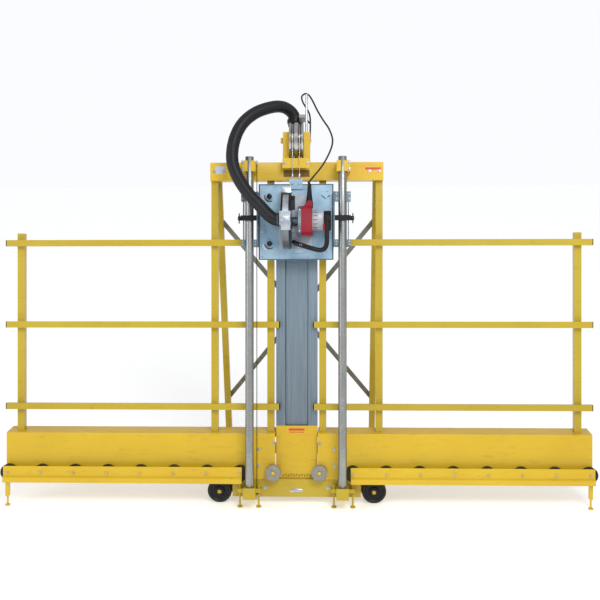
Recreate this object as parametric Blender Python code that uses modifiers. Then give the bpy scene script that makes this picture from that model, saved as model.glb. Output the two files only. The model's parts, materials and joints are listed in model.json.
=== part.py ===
"""A vertical panel saw on a wheeled frame, at rest with its carriage near the top.

World frame: X to the operator's right, +Y away from the operator, +Z up, floor at Z = 0.
The saw frame leans back by LEAN. Its own frame, the empty "incline", has x along X,
y up the slope and z out towards the operator, with z = 0 on the face that a sheet rests on.
All lengths are in metres.
"""

import math

import bmesh
import bpy
from mathutils import Matrix, Vector

# Driving dimensions
LEAN = math.radians(10)  # the saw frame's lean from the vertical
DEPTH_SHIFT = -0.28981  # puts the origin under the middle of the machine
GAP = 0.0003  # between pieces that touch
WELD = 0.0005  # overlap of shapes that are welded into one

HALF_LENGTH = 1.505  # aprons and rails, half of the ten foot bed less the end rollers
APRON_INNER = 0.110
APRON_LOW, APRON_HIGH = 0.131, 0.366
SHELF_DEPTH = 0.110
SHEET = 0.003  # folded sheet thickness

RAIL = 0.032
RAIL_HEIGHTS = (0.502, 0.925, 1.347)
RAIL_INNER = 0.090
POST = 0.036
POST_BACK = -RAIL - GAP - POST
END_POST_X, END_POST_TOP = 1.440, 1.399
OUTER_POST_X, INNER_POST_X = 0.425, 0.1345
BEAM_LOW, BEAM_HIGH, BEAM_HALF = 1.666, 1.759, 0.445

ROLLER_R, ROLLER_WIDE, ROLLER_BORE = 0.0405, 0.038, 0.0065
ROLLER_FIRST, ROLLER_PITCH, ROLLERS_A_SIDE = 0.288, 0.1707, 8
ROLLER_Y, ROLLER_Z = 0.167, 0.0265
DISC_X, DISC_Y, DISC_R = 0.118, 0.170, 0.040
ANGLE_INNER, ANGLE_FACE, ANGLE_TOP = 0.277, 0.053, 0.2005

CHANNEL_HALF, CHANNEL_TOP, CHANNEL_LOW = 0.1065, 1.650, 0.403
CHANNEL_FACE, CHANNEL_BACK = -0.034, -0.140

TUBE_X, TUBE_Z, TUBE_R, TUBE_WALL = 0.235, 0.080, 0.0212, 0.003
TUBE_LOW, TUBE_HIGH = 0.062, 1.776

PULLEY_Y, PULLEY_Z, PULLEY_R, PULLEY_HALF = 1.873, -0.0185, 0.0925, 0.036
CABLE_TURN_R, CABLE_R, CABLE_X = 0.085, 0.002, 0.018

PLATE_HALF, PLATE_LOW, PLATE_HIGH = 0.190, 1.255, 1.640
PLATE_BACK, PLATE_FRONT = 0.056, 0.062
TURN_Y = 1.4475  # the turntable's centre, up the slope
TURN_R, TURN_HOLE_R, TURN_FRONT = 0.160, 0.148, 0.0733

BLADE_X, BLADE_Z, BLADE_R, BLADE_THICK = -0.044, 0.1045, 0.130, 0.0024
ARBOR_R = 0.008

WHEEL_R, WHEEL_X, BASE_HALF = 0.0625, 0.398, 0.330
FRONT_WHEEL_Y, REAR_WHEEL_Y = 0.038, 0.645
AXLE_R = 0.006

HOSE_R, CORD_R = 0.032, 0.0045
COIL_CENTRE, COIL_MID_R = (0.105, 0.400), 0.052

for old in list(bpy.data.objects):
    bpy.data.objects.remove(old, do_unlink=True)

machine = bpy.data.collections.new("panel_saw")
bpy.context.scene.collection.children.link(machine)

YELLOW = ("yellow_paint", (0.66, 0.43, 0.03), 0.38, 0.0)
STEEL = ("zinc_steel", (0.52, 0.54, 0.56), 0.35, 1.0)
BLUE_ZINC = ("blue_zinc_plate", (0.40, 0.58, 0.72), 0.35, 0.6)
BRACE = ("galvanised_bar", (0.30, 0.30, 0.27), 0.50, 0.8)
CHROME = ("polished_steel", (0.62, 0.62, 0.63), 0.18, 1.0)
BLACK = ("black_plastic", (0.015, 0.015, 0.018), 0.45, 0.0)
RUBBER = ("black_rubber", (0.012, 0.012, 0.013), 0.70, 0.0)
RED = ("red_plastic", (0.33, 0.02, 0.035), 0.40, 0.0)
GREY_CAST = ("cast_aluminium", (0.45, 0.46, 0.47), 0.45, 0.9)
GREY_NYLON = ("grey_nylon", (0.46, 0.45, 0.42), 0.50, 0.0)
IRON = ("cast_iron", (0.10, 0.10, 0.11), 0.60, 0.6)

materials = {}


def material(look):
    name, colour, roughness, metallic = look
    if name not in materials:
        made = bpy.data.materials.new(name)
        made.use_nodes = True
        shader = made.node_tree.nodes["Principled BSDF"]
        shader.inputs["Base Color"].default_value = (*colour, 1)
        shader.inputs["Roughness"].default_value = roughness
        shader.inputs["Metallic"].default_value = metallic
        materials[name] = made
    return materials[name]


base = bpy.data.objects.new("machine_origin", None)
base.location = (0, DEPTH_SHIFT, 0)
machine.objects.link(base)
incline = bpy.data.objects.new("incline", None)
incline.rotation_euler = (math.pi / 2 - LEAN, 0, 0)
incline.parent = base
machine.objects.link(incline)


# Shapes. Each returns a closed mesh object that `node` or `fused` then uses up.
def shape_object(mesh):
    made = bpy.data.objects.new("shape", mesh)
    machine.objects.link(made)
    return made


def from_bmesh(edit):
    bmesh.ops.recalc_face_normals(edit, faces=edit.faces)
    mesh = bpy.data.meshes.new("shape")
    edit.to_mesh(mesh)
    edit.free()
    return shape_object(mesh)


def block(x, y, z):
    """A box between two values on each axis."""
    edit = bmesh.new()
    bmesh.ops.create_cube(edit, size=1)
    size = Vector((x[1] - x[0], y[1] - y[0], z[1] - z[0]))
    bmesh.ops.scale(edit, vec=size, verts=edit.verts)
    middle = Vector((x[0] + x[1], y[0] + y[1], z[0] + z[1])) / 2
    bmesh.ops.translate(edit, vec=middle, verts=edit.verts)
    return from_bmesh(edit)


def rod(start, end, radius, sides=16, end_radius=None):
    """A cylinder, or a cone with end_radius, from one point to another."""
    start, end = Vector(start), Vector(end)
    along = end - start
    edit = bmesh.new()
    last = radius if end_radius is None else end_radius
    bmesh.ops.create_cone(
        edit, cap_ends=True, segments=sides, radius1=radius, radius2=last, depth=along.length
    )
    place = Matrix.Translation((start + end) / 2) @ along.to_track_quat("Z", "Y").to_matrix().to_4x4()
    bmesh.ops.transform(edit, matrix=place, verts=edit.verts)
    return from_bmesh(edit)


def as_mesh(made):
    """Replaces a curve, or a mesh with modifiers, by its finished mesh with its caps welded."""
    bpy.context.view_layer.update()
    graph = bpy.context.evaluated_depsgraph_get()
    mesh = bpy.data.meshes.new_from_object(made.evaluated_get(graph))
    edit = bmesh.new()
    edit.from_mesh(mesh)
    bmesh.ops.remove_doubles(edit, verts=edit.verts, dist=1e-6)
    bmesh.ops.recalc_face_normals(edit, faces=edit.faces)
    edit.to_mesh(mesh)
    edit.free()
    matrix = made.matrix_world.copy()
    bpy.data.objects.remove(made, do_unlink=True)
    result = shape_object(mesh)
    mesh.transform(matrix)
    return result


def prism(outline, low, high, along="x"):
    """An outline of (first, second) points, extruded. The outline lies in (y, z) for x, (x, z) for y."""
    curve = bpy.data.curves.new("outline", "CURVE")
    curve.dimensions = "2D"
    curve.fill_mode = "BOTH"
    curve.extrude = (high - low) / 2
    spline = curve.splines.new("POLY")
    spline.points.add(len(outline) - 1)
    for point, (a, b) in zip(spline.points, outline):
        point.co = (a, b, 0, 1)
    spline.use_cyclic_u = True
    made = as_mesh(shape_object(curve))
    middle = (low + high) / 2
    turn = {
        "x": Matrix(((0, 0, 1, middle), (1, 0, 0, 0), (0, 1, 0, 0), (0, 0, 0, 1))),
        "y": Matrix(((1, 0, 0, 0), (0, 0, -1, middle), (0, 1, 0, 0), (0, 0, 0, 1))),
    }[along]
    made.data.transform(turn)
    return made


def turned(profile, centre, along, steps=24):
    """A closed (radius, height) profile turned about an axis through centre."""
    mesh = bpy.data.meshes.new("profile")
    count = len(profile)
    points = [(radius, 0, height) for radius, height in profile]
    mesh.from_pydata(points, [(i, (i + 1) % count) for i in range(count)], [])
    made = shape_object(mesh)
    screw = made.modifiers.new("Turn", "SCREW")
    screw.steps = steps
    screw.render_steps = steps
    screw.use_merge_vertices = True
    screw.merge_threshold = 1e-5
    made.rotation_euler = Vector(along).to_track_quat("Z", "Y").to_euler()
    made.location = centre
    return as_mesh(made)


def ring(outer, inner, half):
    """The profile of a plain ring."""
    return [(inner, half), (outer, half), (outer, -half), (inner, -half)]


def wire(points, radius, bevel_resolution=2):
    """A round tube along a list of points."""
    curve = bpy.data.curves.new("wire", "CURVE")
    curve.dimensions = "3D"
    curve.bevel_depth = radius
    curve.bevel_resolution = bevel_resolution
    curve.use_fill_caps = True
    spline = curve.splines.new("POLY")
    spline.points.add(len(points) - 1)
    for point, place in zip(spline.points, points):
        point.co = (*place, 1)
    return as_mesh(shape_object(curve))


def smooth_route(points, step):
    """Evenly spaced points along a smooth curve through the given ones."""
    points = [Vector(p) for p in points]
    padded = [2 * points[0] - points[1], *points, 2 * points[-1] - points[-2]]
    fine = []
    for a, b, c, d in zip(padded, padded[1:], padded[2:], padded[3:]):
        for i in range(24):
            t = i / 24
            fine.append(
                ((2 * b) + (c - a) * t + (2 * a - 5 * b + 4 * c - d) * t * t
                 + (3 * b - a - 3 * c + d) * t ** 3) / 2
            )
    fine.append(points[-1])
    lengths = [0.0]
    for a, b in zip(fine, fine[1:]):
        lengths.append(lengths[-1] + (b - a).length)
    count = max(2, round(lengths[-1] / step))
    route, j = [], 0
    for i in range(count + 1):
        want = lengths[-1] * i / count
        while j < len(fine) - 2 and lengths[j + 1] < want:
            j += 1
        share = (want - lengths[j]) / max(lengths[j + 1] - lengths[j], 1e-9)
        route.append(fine[j].lerp(fine[j + 1], share))
    return route


def arc(centre, radius, start, end, count):
    """Points along an arc, in degrees, in the outline's plane."""
    return [
        (centre[0] + radius * math.cos(math.radians(start + (end - start) * i / count)),
         centre[1] + radius * math.sin(math.radians(start + (end - start) * i / count)))
        for i in range(count + 1)
    ]


def folded(path, thick):
    """The outline of a bent sheet: the path, and the same path offset to its left by thick."""
    inner = []
    for i, here in enumerate(path):
        normals = []
        for a, b in ((i - 1, i), (i, i + 1)):
            if a >= 0 and b < len(path):
                dx, dy = path[b][0] - path[a][0], path[b][1] - path[a][1]
                far = math.hypot(dx, dy)
                normals.append((-dy / far, dx / far))
        nx = sum(n[0] for n in normals) / len(normals)
        ny = sum(n[1] for n in normals) / len(normals)
        scale = thick / (nx * nx + ny * ny)
        inner.append((here[0] + nx * scale, here[1] + ny * scale))
    return list(path) + inner[::-1]


def fused(pieces, cuts=()):
    """One mesh object: the union of the pieces, less the cuts."""
    first = pieces[0]
    for other in pieces[1:]:
        union = first.modifiers.new("Join", "BOOLEAN")
        union.operation = "UNION"
        union.object = other
    for other in cuts:
        difference = first.modifiers.new("Cut", "BOOLEAN")
        difference.operation = "DIFFERENCE"
        difference.object = other
    made = as_mesh(first)
    for other in [*pieces[1:], *cuts]:
        bpy.data.objects.remove(other, do_unlink=True)
    return made


def node(name, made, look, origin=(0, 0, 0), parent=incline):
    """Names a shape as a sub-part, with its origin at the given point of its parent's frame."""
    made.name = made.data.name = name
    made.data.transform(Matrix.Translation(-Vector(origin)))
    made.location = origin
    made.parent = parent
    made.data.materials.clear()
    made.data.materials.append(material(look))
    made.data.shade_smooth()
    made.data.set_sharp_from_angle(angle=math.radians(35))
    return made


def span(side, inner, outer):
    """An x range from inner to outer on one side."""
    return tuple(sorted((side * inner, side * outer)))


SIDES = (("left", -1), ("right", 1))


def leaned(made):
    """Turns a shape from the leaning frame into the base's frame."""
    made.data.transform(incline.rotation_euler.to_matrix().to_4x4())
    return made


def to_world(x, y, z):
    """A point of the leaning frame, in the base's frame."""
    return incline.rotation_euler.to_matrix() @ Vector((x, y, z))


def headed_pin(start, end, radius, head_radius, head):
    """A pin from start to end with a hexagon head past its end."""
    way = (Vector(end) - Vector(start)).normalized()
    past = Vector(end) + way * head
    return [rod(start, end, radius, 12), rod(Vector(end) - way * 0.0005, past, head_radius, 6)]


# Base frame: a front beam under the aprons, side rails, a rear beam, wheel brackets with their
# axles, the clamps for the guide tubes and the levelling screws beside them
FOOT_HIGH = 0.104
LEVEL_XS, LEVEL_Z, LEVEL_R = (0.192, 0.288), 0.030, 0.005
REAR_BEAM = (0.618, 0.672)


def levelling_screw(x, z, top):
    """A screw along the slope with a level pad on the floor."""
    reach = -z * math.tan(LEAN)
    foot = to_world(x, reach, z)
    pad = rod((x, foot.y, 0), (x, foot.y, 0.007), 0.013, 16)
    screw = leaned(rod((x, reach + 0.003, z), (x, top, z), LEVEL_R, 12))
    return [pad, screw]


def base_frame():
    pieces = [
        leaned(block((-BASE_HALF, BASE_HALF), (0.040, APRON_LOW - GAP), (-0.066, -0.006))),
        block((-0.315, 0.315), REAR_BEAM, (0.060, 0.110)),
    ]
    cuts = []
    for _, side in SIDES:
        pieces.append(block(span(side, 0.278, 0.328), (0.030, 0.630), (0.060, 0.108)))
        pieces.append(block(span(side, 0.320, 0.425), (0.060, 0.066), (0.045, 0.108)))
        for back in (REAR_BEAM[0], REAR_BEAM[1] - 0.006):
            pieces.append(block(span(side, 0.310, 0.440), (back, back + 0.006), (0.040, 0.160)))
        pieces.append(block(span(side, 0.310, 0.440), REAR_BEAM, (0.1545, 0.160)))
        wheel_x = side * WHEEL_X
        pieces += headed_pin((wheel_x, 0.062, WHEEL_R), (wheel_x, 0.0205, WHEEL_R), AXLE_R, 0.011, 0.005)
        pieces += headed_pin((wheel_x, 0.621, WHEEL_R), (wheel_x, 0.673, WHEEL_R), AXLE_R, 0.011, 0.005)
        x = side * TUBE_X
        pieces.append(leaned(block((x - 0.031, x + 0.031), (0.046, FOOT_HIGH), (-0.007, 0.108))))
        pieces.append(leaned(block((x - 0.056, x + 0.063) if side > 0 else (x - 0.063, x + 0.056),
                                   (0.070, 0.090), (-0.007, 0.046))))
        cuts.append(leaned(rod((x, TUBE_LOW - GAP, TUBE_Z), (x, 0.2, TUBE_Z), TUBE_R + GAP, 24)))
        for level_x in LEVEL_XS:
            pieces += levelling_screw(side * level_x, LEVEL_Z, 0.112)
    return fused(pieces, cuts)


node("base_frame", base_frame(), YELLOW, parent=base)

# Wheels turn about Y, so that the machine rolls sideways
wheel_profile = [
    (AXLE_R + 2 * GAP, 0.016), (0.024, 0.016), (0.028, 0.011), (0.048, 0.011), (0.055, 0.0155),
    (WHEEL_R, 0.009), (WHEEL_R, -0.009), (0.055, -0.0155), (AXLE_R + 2 * GAP, -0.0155),
]
for end, y in (("front", FRONT_WHEEL_Y), ("rear", REAR_WHEEL_Y)):
    for side_name, side in SIDES:
        centre = (side * WHEEL_X, y, WHEEL_R)
        node(f"{end}_{side_name}_wheel", turned(wheel_profile, centre, (0, 1, 0), 20), RUBBER,
             origin=centre, parent=base)


# Aprons: folded sheet with a level shelf on top, on which the posts stand
def shelf_z(z):
    """How far up the slope the level shelf's top lies at a depth z."""
    return APRON_HIGH - z * math.tan(LEAN)


def apron(side):
    back = -SHELF_DEPTH * math.cos(LEAN)
    path = [
        (APRON_LOW, -0.012), (APRON_LOW, 0.0), (APRON_HIGH, 0.0), (shelf_z(back), back),
        (shelf_z(back) - 0.045, back),
    ]
    sheet = prism(folded(path, -SHEET), *span(side, APRON_INNER, HALF_LENGTH))
    x = side * DISC_X
    return fused([sheet, *headed_pin((x, DISC_Y, -0.002), (x, DISC_Y, 0.0465), AXLE_R, 0.010, 0.005)])


for side_name, side in SIDES:
    node(f"{side_name}_apron", apron(side), YELLOW)

# Front angles: the wall in front of the rollers, with a rounded toe along its foot
ANGLE_OUTLINE = [
    (0.150, GAP), (0.118, GAP), (0.118, 0.066), (0.142, 0.066), (0.148, 0.060),
    (0.150, ANGLE_FACE), (ANGLE_TOP, ANGLE_FACE), (ANGLE_TOP, ANGLE_FACE - SHEET),
    (0.121, ANGLE_FACE - SHEET), (0.121, GAP + SHEET), (0.150, GAP + SHEET),
]
END_FOOT_X, END_FOOT_Z = 1.488, 0.030


def row_of_rollers(side):
    return [side * (ROLLER_FIRST + i * ROLLER_PITCH) for i in range(ROLLERS_A_SIDE)]


def front_angle(side):
    """The angle with the roller spindles bolted through its wall and a foot under its far end."""
    pieces = [leaned(prism(ANGLE_OUTLINE, *span(side, ANGLE_INNER, HALF_LENGTH)))]
    for x in row_of_rollers(side):
        spindle = headed_pin((x, ROLLER_Y, GAP), (x, ROLLER_Y, ANGLE_FACE), AXLE_R, 0.009, 0.005)
        pieces += [leaned(pin) for pin in spindle]
    x = side * END_FOOT_X
    foot_z = (END_FOOT_Z - 0.012, END_FOOT_Z + 0.012)
    pieces.append(leaned(block((x - 0.009, x + 0.009), (0.045, 0.119), foot_z)))
    pieces += levelling_screw(x, END_FOOT_Z, 0.060)
    return fused(pieces)


for side_name, side in SIDES:
    node(f"{side_name}_front_angle", front_angle(side), YELLOW, parent=base)


# Wall frames: on each side three rails welded to the front of three posts
def post(x, top):
    front = -RAIL + WELD
    outline = [
        (shelf_z(front) + GAP, front), (top, front), (top, POST_BACK),
        (shelf_z(POST_BACK) + GAP, POST_BACK),
    ]
    return prism(outline, x - POST / 2, x + POST / 2)


def wall_frame(side):
    pieces = []
    for height in RAIL_HEIGHTS:
        rail_y = (height - RAIL / 2, height + RAIL / 2)
        pieces.append(block(span(side, RAIL_INNER, HALF_LENGTH), rail_y, (-RAIL, 0)))
    pieces.append(post(side * END_POST_X, END_POST_TOP))
    pieces.append(post(side * OUTER_POST_X, BEAM_LOW - GAP))
    pieces.append(post(side * INNER_POST_X, BEAM_LOW - GAP))
    return fused(pieces)


for side_name, side in SIDES:
    node(f"{side_name}_wall_frame", wall_frame(side), YELLOW)

beam_outline = [
    (BEAM_LOW, 0), (BEAM_HIGH, 0), (BEAM_HIGH, POST_BACK), (BEAM_HIGH - 0.004, POST_BACK),
    (BEAM_HIGH - 0.004, -0.004), (BEAM_LOW + 0.004, -0.004), (BEAM_LOW + 0.004, POST_BACK),
    (BEAM_LOW, POST_BACK),
]


def top_beam():
    """The beam with the clamps that hold the guide tubes' tops."""
    pieces, cuts = [prism(beam_outline, -BEAM_HALF, BEAM_HALF)], []
    for _, side in SIDES:
        x = side * TUBE_X
        pieces.append(block(span(side, TUBE_X - 0.030, TUBE_X + 0.040), (1.700, 1.755), (-0.002, 0.100)))
        cuts.append(rod((x, 1.6, TUBE_Z), (x, 1.9, TUBE_Z), TUBE_R + GAP, 24))
    return fused(pieces, cuts)


node("top_beam", top_beam(), YELLOW)

# Centre channel, and the recessed plate that carries it on down to the base
back, face = CHANNEL_BACK, CHANNEL_FACE
channel_path = [
    (-0.085, back), (-CHANNEL_HALF, back), (-CHANNEL_HALF, face), (-0.060, face), (-0.055, face - 0.016),
    (0.055, face - 0.016), (0.060, face), (CHANNEL_HALF, face), (CHANNEL_HALF, back), (0.085, back),
]
node("channel", prism(folded(channel_path, -SHEET), CHANNEL_LOW, CHANNEL_TOP, "y"), STEEL)
plate_path = [
    (-0.085, back), (-CHANNEL_HALF, back), (-CHANNEL_HALF, face), (CHANNEL_HALF, face),
    (CHANNEL_HALF, back), (0.085, back),
]
node("centre_plate", prism(folded(plate_path, -SHEET), APRON_LOW, CHANNEL_LOW - GAP, "y"), YELLOW)
node("counterweight", block((-0.080, 0.080), (0.250, 0.500), (-0.135, -0.072)), IRON,
     origin=(0, 0.375, -0.1035))


# Rear legs, from behind the top beam down to the base, with a tie between their feet
LEG_X, LEG_HALF = 0.411, 0.017
leg_front = to_world(0, 1.690, POST_BACK - GAP)
leg_back = to_world(0, 1.690, POST_BACK - 0.036)
FOOT_FRONT, FOOT_BACK, FOOT_LOW = 0.628, 0.664, 0.160 + GAP


def rear_legs():
    outline = [
        (FOOT_FRONT, FOOT_LOW), (FOOT_BACK, FOOT_LOW), (leg_back.y, leg_back.z), (leg_front.y, leg_front.z),
    ]
    pieces = [prism(outline, side * LEG_X - LEG_HALF, side * LEG_X + LEG_HALF) for _, side in SIDES]
    pieces.append(block((-LEG_X, LEG_X), (0.600, 0.632), (0.164, 0.190)))
    return fused(pieces)


node("rear_legs", rear_legs(), YELLOW, parent=base)

# Cross braces: two flat bars behind the legs, riveted where they cross
leg_slope = Vector((0, FOOT_BACK - leg_back.y, FOOT_LOW - leg_back.z)).normalized()
leg_normal = Vector((0, -leg_slope.z, leg_slope.y))
BAR = 0.003


def brace(direction, layer):
    """A flat bar across the back of the legs, in the given layer behind them."""
    high = Vector((-direction * 0.405, leg_back.y, leg_back.z)) + leg_slope * 0.230
    low = Vector((direction * 0.405, leg_back.y, leg_back.z)) + leg_slope * 1.270
    half = (high - low).length / 2
    made = block((-half, half), (-0.0125, 0.0125), (0, BAR + WELD))
    along = (low - high).normalized()
    turn = Matrix((along, leg_normal.cross(along), leg_normal)).transposed().to_4x4()
    made.data.transform(Matrix.Translation((high + low) / 2 + leg_normal * (GAP + layer * BAR)) @ turn)
    return made


node("cross_braces", fused([brace(1, 0), brace(-1, 1)]), BRACE, parent=base)


# Guide tubes
for side_name, side in SIDES:
    middle = (side * TUBE_X, (TUBE_LOW + TUBE_HIGH) / 2, TUBE_Z)
    profile = ring(TUBE_R, TUBE_R - TUBE_WALL, (TUBE_HIGH - TUBE_LOW) / 2)
    node(f"{side_name}_guide_tube", turned(profile, middle, (0, 1, 0)), STEEL)

# Pulley, its bracket on the top beam, and the spindle through both
UPRIGHT_INNER, UPRIGHT_OUTER, UPRIGHT_TOP, PULLEY_AXLE_R = 0.0385, 0.070, 1.914, 0.008


def pulley_bracket():
    low = BEAM_HIGH + GAP
    pieces = [
        block((-UPRIGHT_OUTER, UPRIGHT_OUTER), (low, 1.773), (-0.060, 0.050)),
        block((-UPRIGHT_OUTER, UPRIGHT_OUTER), (1.7226, 1.773), (0.044, 0.050)),
    ]
    for _, side in SIDES:
        upright_x = span(side, UPRIGHT_INNER, UPRIGHT_OUTER)
        pieces.append(block(upright_x, (1.770, UPRIGHT_TOP), (-0.045, 0.008)))
    right_end, left_end = (0.076, PULLEY_Y, PULLEY_Z), (-0.072, PULLEY_Y, PULLEY_Z)
    pieces += headed_pin(right_end, left_end, PULLEY_AXLE_R, 0.016, 0.010)
    return fused(pieces)


node("pulley_bracket", pulley_bracket(), YELLOW)
groove = CABLE_TURN_R - CABLE_R - 0.001
pulley_profile = [(PULLEY_AXLE_R + 2 * GAP, PULLEY_HALF), (PULLEY_R, PULLEY_HALF)]
for middle in (CABLE_X, -CABLE_X):
    pulley_profile += [
        (PULLEY_R, middle + 0.009), (groove, middle + 0.004), (groove, middle - 0.004),
        (PULLEY_R, middle - 0.009),
    ]
pulley_profile += [(PULLEY_R, -PULLEY_HALF), (PULLEY_AXLE_R + 2 * GAP, -PULLEY_HALF)]
pulley_centre = (0, PULLEY_Y, PULLEY_Z)
node("pulley", turned(pulley_profile, pulley_centre, (1, 0, 0)), CHROME, origin=pulley_centre)

# Cord mast with a hook on top, and the arm that steadies the hose
MAST_X, MAST_Z, MAST_TOP, MAST_R = 0.0515, -0.020, 2.112, 0.0065
HOSE_ARM_Y, CLAMP_X, CLAMP_Z = 2.000, -0.015, -0.172


def cord_mast():
    mast = rod((MAST_X, UPRIGHT_TOP + GAP, MAST_Z), (MAST_X, MAST_TOP, MAST_Z), MAST_R, 16)
    arm = block((0.008, MAST_X + 0.004), (HOSE_ARM_Y - 0.008, HOSE_ARM_Y + 0.008), (-0.150, MAST_Z))
    hook = rod((MAST_X, MAST_TOP - 0.012, MAST_Z), (MAST_X, MAST_TOP - 0.012, MAST_Z - 0.030), 0.004, 12)
    clamp, bore = (
        rod((CLAMP_X, HOSE_ARM_Y - half, CLAMP_Z), (CLAMP_X, HOSE_ARM_Y + half, CLAMP_Z), radius, 20)
        for half, radius in ((0.010, HOSE_R + 0.009), (0.1, HOSE_R + 0.006))
    )
    return fused([mast, arm, hook, clamp], [bore])


node("cord_mast", cord_mast(), STEEL)

# Dust pipe behind the channel, which the hose runs down into
PIPE_X, PIPE_Z, PIPE_HIGH, PIPE_LOW, PIPE_R = -0.012, -0.182, 1.560, 0.330, 0.036


def dust_pipe():
    half = (PIPE_HIGH - PIPE_LOW) / 2
    middle = (PIPE_X, (PIPE_HIGH + PIPE_LOW) / 2, PIPE_Z)
    pipe = turned(ring(PIPE_R, PIPE_R - 0.003, half), middle, (0, 1, 0), 20)
    straps = []
    for height in (0.500, 1.450):
        strap = block((-CHANNEL_HALF, CHANNEL_HALF), (height - 0.012, height + 0.012),
                      (CHANNEL_BACK - 0.008, CHANNEL_BACK - GAP))
        straps.append(strap)
    return fused([pipe, *straps])


node("dust_pipe", dust_pipe(), IRON)


# Bed rollers and centre discs turn about the slope's normal
roller_profile = ring(ROLLER_R, ROLLER_BORE, ROLLER_WIDE / 2)
roller_mesh = turned(roller_profile, (0, 0, 0), (0, 0, 1), 20).data
for side_name, side in SIDES:
    for number, x in enumerate(row_of_rollers(side), 1):
        roller = bpy.data.objects.new("roller", roller_mesh)
        machine.objects.link(roller)
        node(f"{side_name}_roller_{number}", roller, RUBBER).location = (x, ROLLER_Y, ROLLER_Z)
for leftover in [o for o in machine.objects if o.name.startswith("shape")]:
    bpy.data.objects.remove(leftover, do_unlink=True)
for side_name, side in SIDES:
    centre = (side * DISC_X, DISC_Y, ROLLER_Z)
    disc = turned(ring(DISC_R, ROLLER_BORE, ROLLER_WIDE / 2), centre, (0, 0, 1))
    node(f"{side_name}_centre_disc", disc, GREY_NYLON, origin=centre)


# Carriage: plate with the turntable's hole, side brackets round the tubes, locks and plungers
carriage_origin = (0, TURN_Y, PLATE_FRONT)


def carriage_plate():
    plate = block((-PLATE_HALF, PLATE_HALF), (PLATE_LOW, PLATE_HIGH), (PLATE_BACK, PLATE_FRONT))
    anchor = block((-0.033, 0.033), (1.612, 1.665), (PLATE_FRONT - 0.001, 0.073))
    hole = rod((0, TURN_Y, 0), (0, TURN_Y, 0.2), TURN_HOLE_R, 40)
    wells = [rod((x, 1.640, CABLE_Z), (x, 1.7, CABLE_Z), CABLE_R + 0.0005, 12) for x in (-CABLE_X, CABLE_X)]
    return fused([plate, anchor], [hole, *wells])


CABLE_Z = PULLEY_Z + CABLE_TURN_R - 0.0005
node("carriage_plate", carriage_plate(), BLUE_ZINC, origin=carriage_origin)

BRACKET_INNER, BRACKET_OUTER, LOCK_Y = PLATE_HALF + GAP, 0.2763, 1.4645


def side_bracket(side):
    x = side * TUBE_X
    pieces = [
        block(span(side, BRACKET_INNER, 0.1963), (1.320, 1.598), (0.040, 0.110)),
        block(span(side, 0.1950, BRACKET_OUTER), (1.550, 1.598), (0.052, 0.0925)),
        block(span(side, 0.1950, BRACKET_OUTER), (1.320, 1.356), (0.052, 0.0925)),
        block(span(side, 0.2620, 0.2670), (1.350, 1.556), (0.058, 0.0920)),
        block(span(side, 0.1950, BRACKET_OUTER), (LOCK_Y - 0.013, LOCK_Y + 0.013), (0.1027, 0.1100)),
        block(span(side, 0.2620, 0.2670), (LOCK_Y - 0.013, LOCK_Y + 0.013), (0.0900, 0.1040)),
    ]
    cuts = [
        rod((x, 1.2, TUBE_Z), (x, 1.7, TUBE_Z), TUBE_R + 0.001, 24),
        rod((side * 0.25, LOCK_Y, TUBE_Z), (side * 0.3, LOCK_Y, TUBE_Z), 0.0056),
    ]
    return fused(pieces, cuts)


for side_name, side in SIDES:
    node(f"{side_name}_side_bracket", side_bracket(side), STEEL, origin=carriage_origin)


def carriage_lock(side):
    screw = rod((side * 0.2580, LOCK_Y, TUBE_Z), (side * 0.288, LOCK_Y, TUBE_Z), 0.005, 12)
    wing_y, wing_z = (LOCK_Y - 0.026, LOCK_Y + 0.026), (TUBE_Z - 0.006, TUBE_Z + 0.006)
    wings = block(span(side, 0.284, 0.290), wing_y, wing_z)
    hub = rod((side * 0.276, LOCK_Y, TUBE_Z), (side * 0.294, LOCK_Y, TUBE_Z), 0.011, 16)
    return fused([screw, wings, hub])


for side_name, side in SIDES:
    node(f"{side_name}_carriage_lock", carriage_lock(side), BLACK, origin=(side * 0.27, LOCK_Y, TUBE_Z))

PLUNGER_X = -0.134
for place, y in (("upper", TURN_Y + 0.1285), ("lower", TURN_Y - 0.1110)):
    knob = fused([rod((PLUNGER_X, y, PLATE_FRONT + GAP), (PLUNGER_X, y, 0.085), 0.007, 16),
                  rod((PLUNGER_X, y, 0.074), (PLUNGER_X, y, 0.096), 0.013, 20)])
    node(f"{place}_index_plunger", knob, BLACK, origin=(PLUNGER_X, y, PLATE_FRONT))

# Turntable with the saw's shoe on it, slotted for the blade
SLOT = (BLADE_X - 0.022, BLADE_X + 0.022)
disc = rod((0, TURN_Y, PLATE_FRONT + GAP), (0, TURN_Y, 0.0700), TURN_R, 40)
shoe = block((-0.084, 0.080), (TURN_Y - 0.140, TURN_Y + 0.140), (0.0690, TURN_FRONT))
slot = block(SLOT, (TURN_Y - 0.136, TURN_Y + 0.136), (0, 0.2))
node("turntable", fused([disc, shoe], [slot]), GREY_CAST, origin=carriage_origin)

# Blade and guards, about the blade's axis
blade_centre = (BLADE_X, TURN_Y, BLADE_Z)
blade = turned(ring(BLADE_R, ARBOR_R + 2 * GAP, BLADE_THICK / 2), blade_centre, (1, 0, 0), 48)
node("blade", blade, CHROME, origin=blade_centre)
GUARD_LOW = TURN_FRONT + GAP
centre = (TURN_Y, BLADE_Z)


def lower_guard():
    outer = prism(arc(centre, 0.1365, 62, 190, 20) + arc(centre, 0.020, 190, 62, 5),
                  BLADE_X - 0.0190, BLADE_X + 0.0135)
    hollow = prism(arc(centre, 0.1335, 40, 210, 24) + arc(centre, 0.004, 210, 40, 4),
                   BLADE_X - 0.0170, BLADE_X + 0.0300)
    arbor = rod((BLADE_X - 0.1, TURN_Y, BLADE_Z), (BLADE_X + 0.1, TURN_Y, BLADE_Z), 0.0205, 24)
    return fused([outer], [hollow, arbor])


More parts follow.
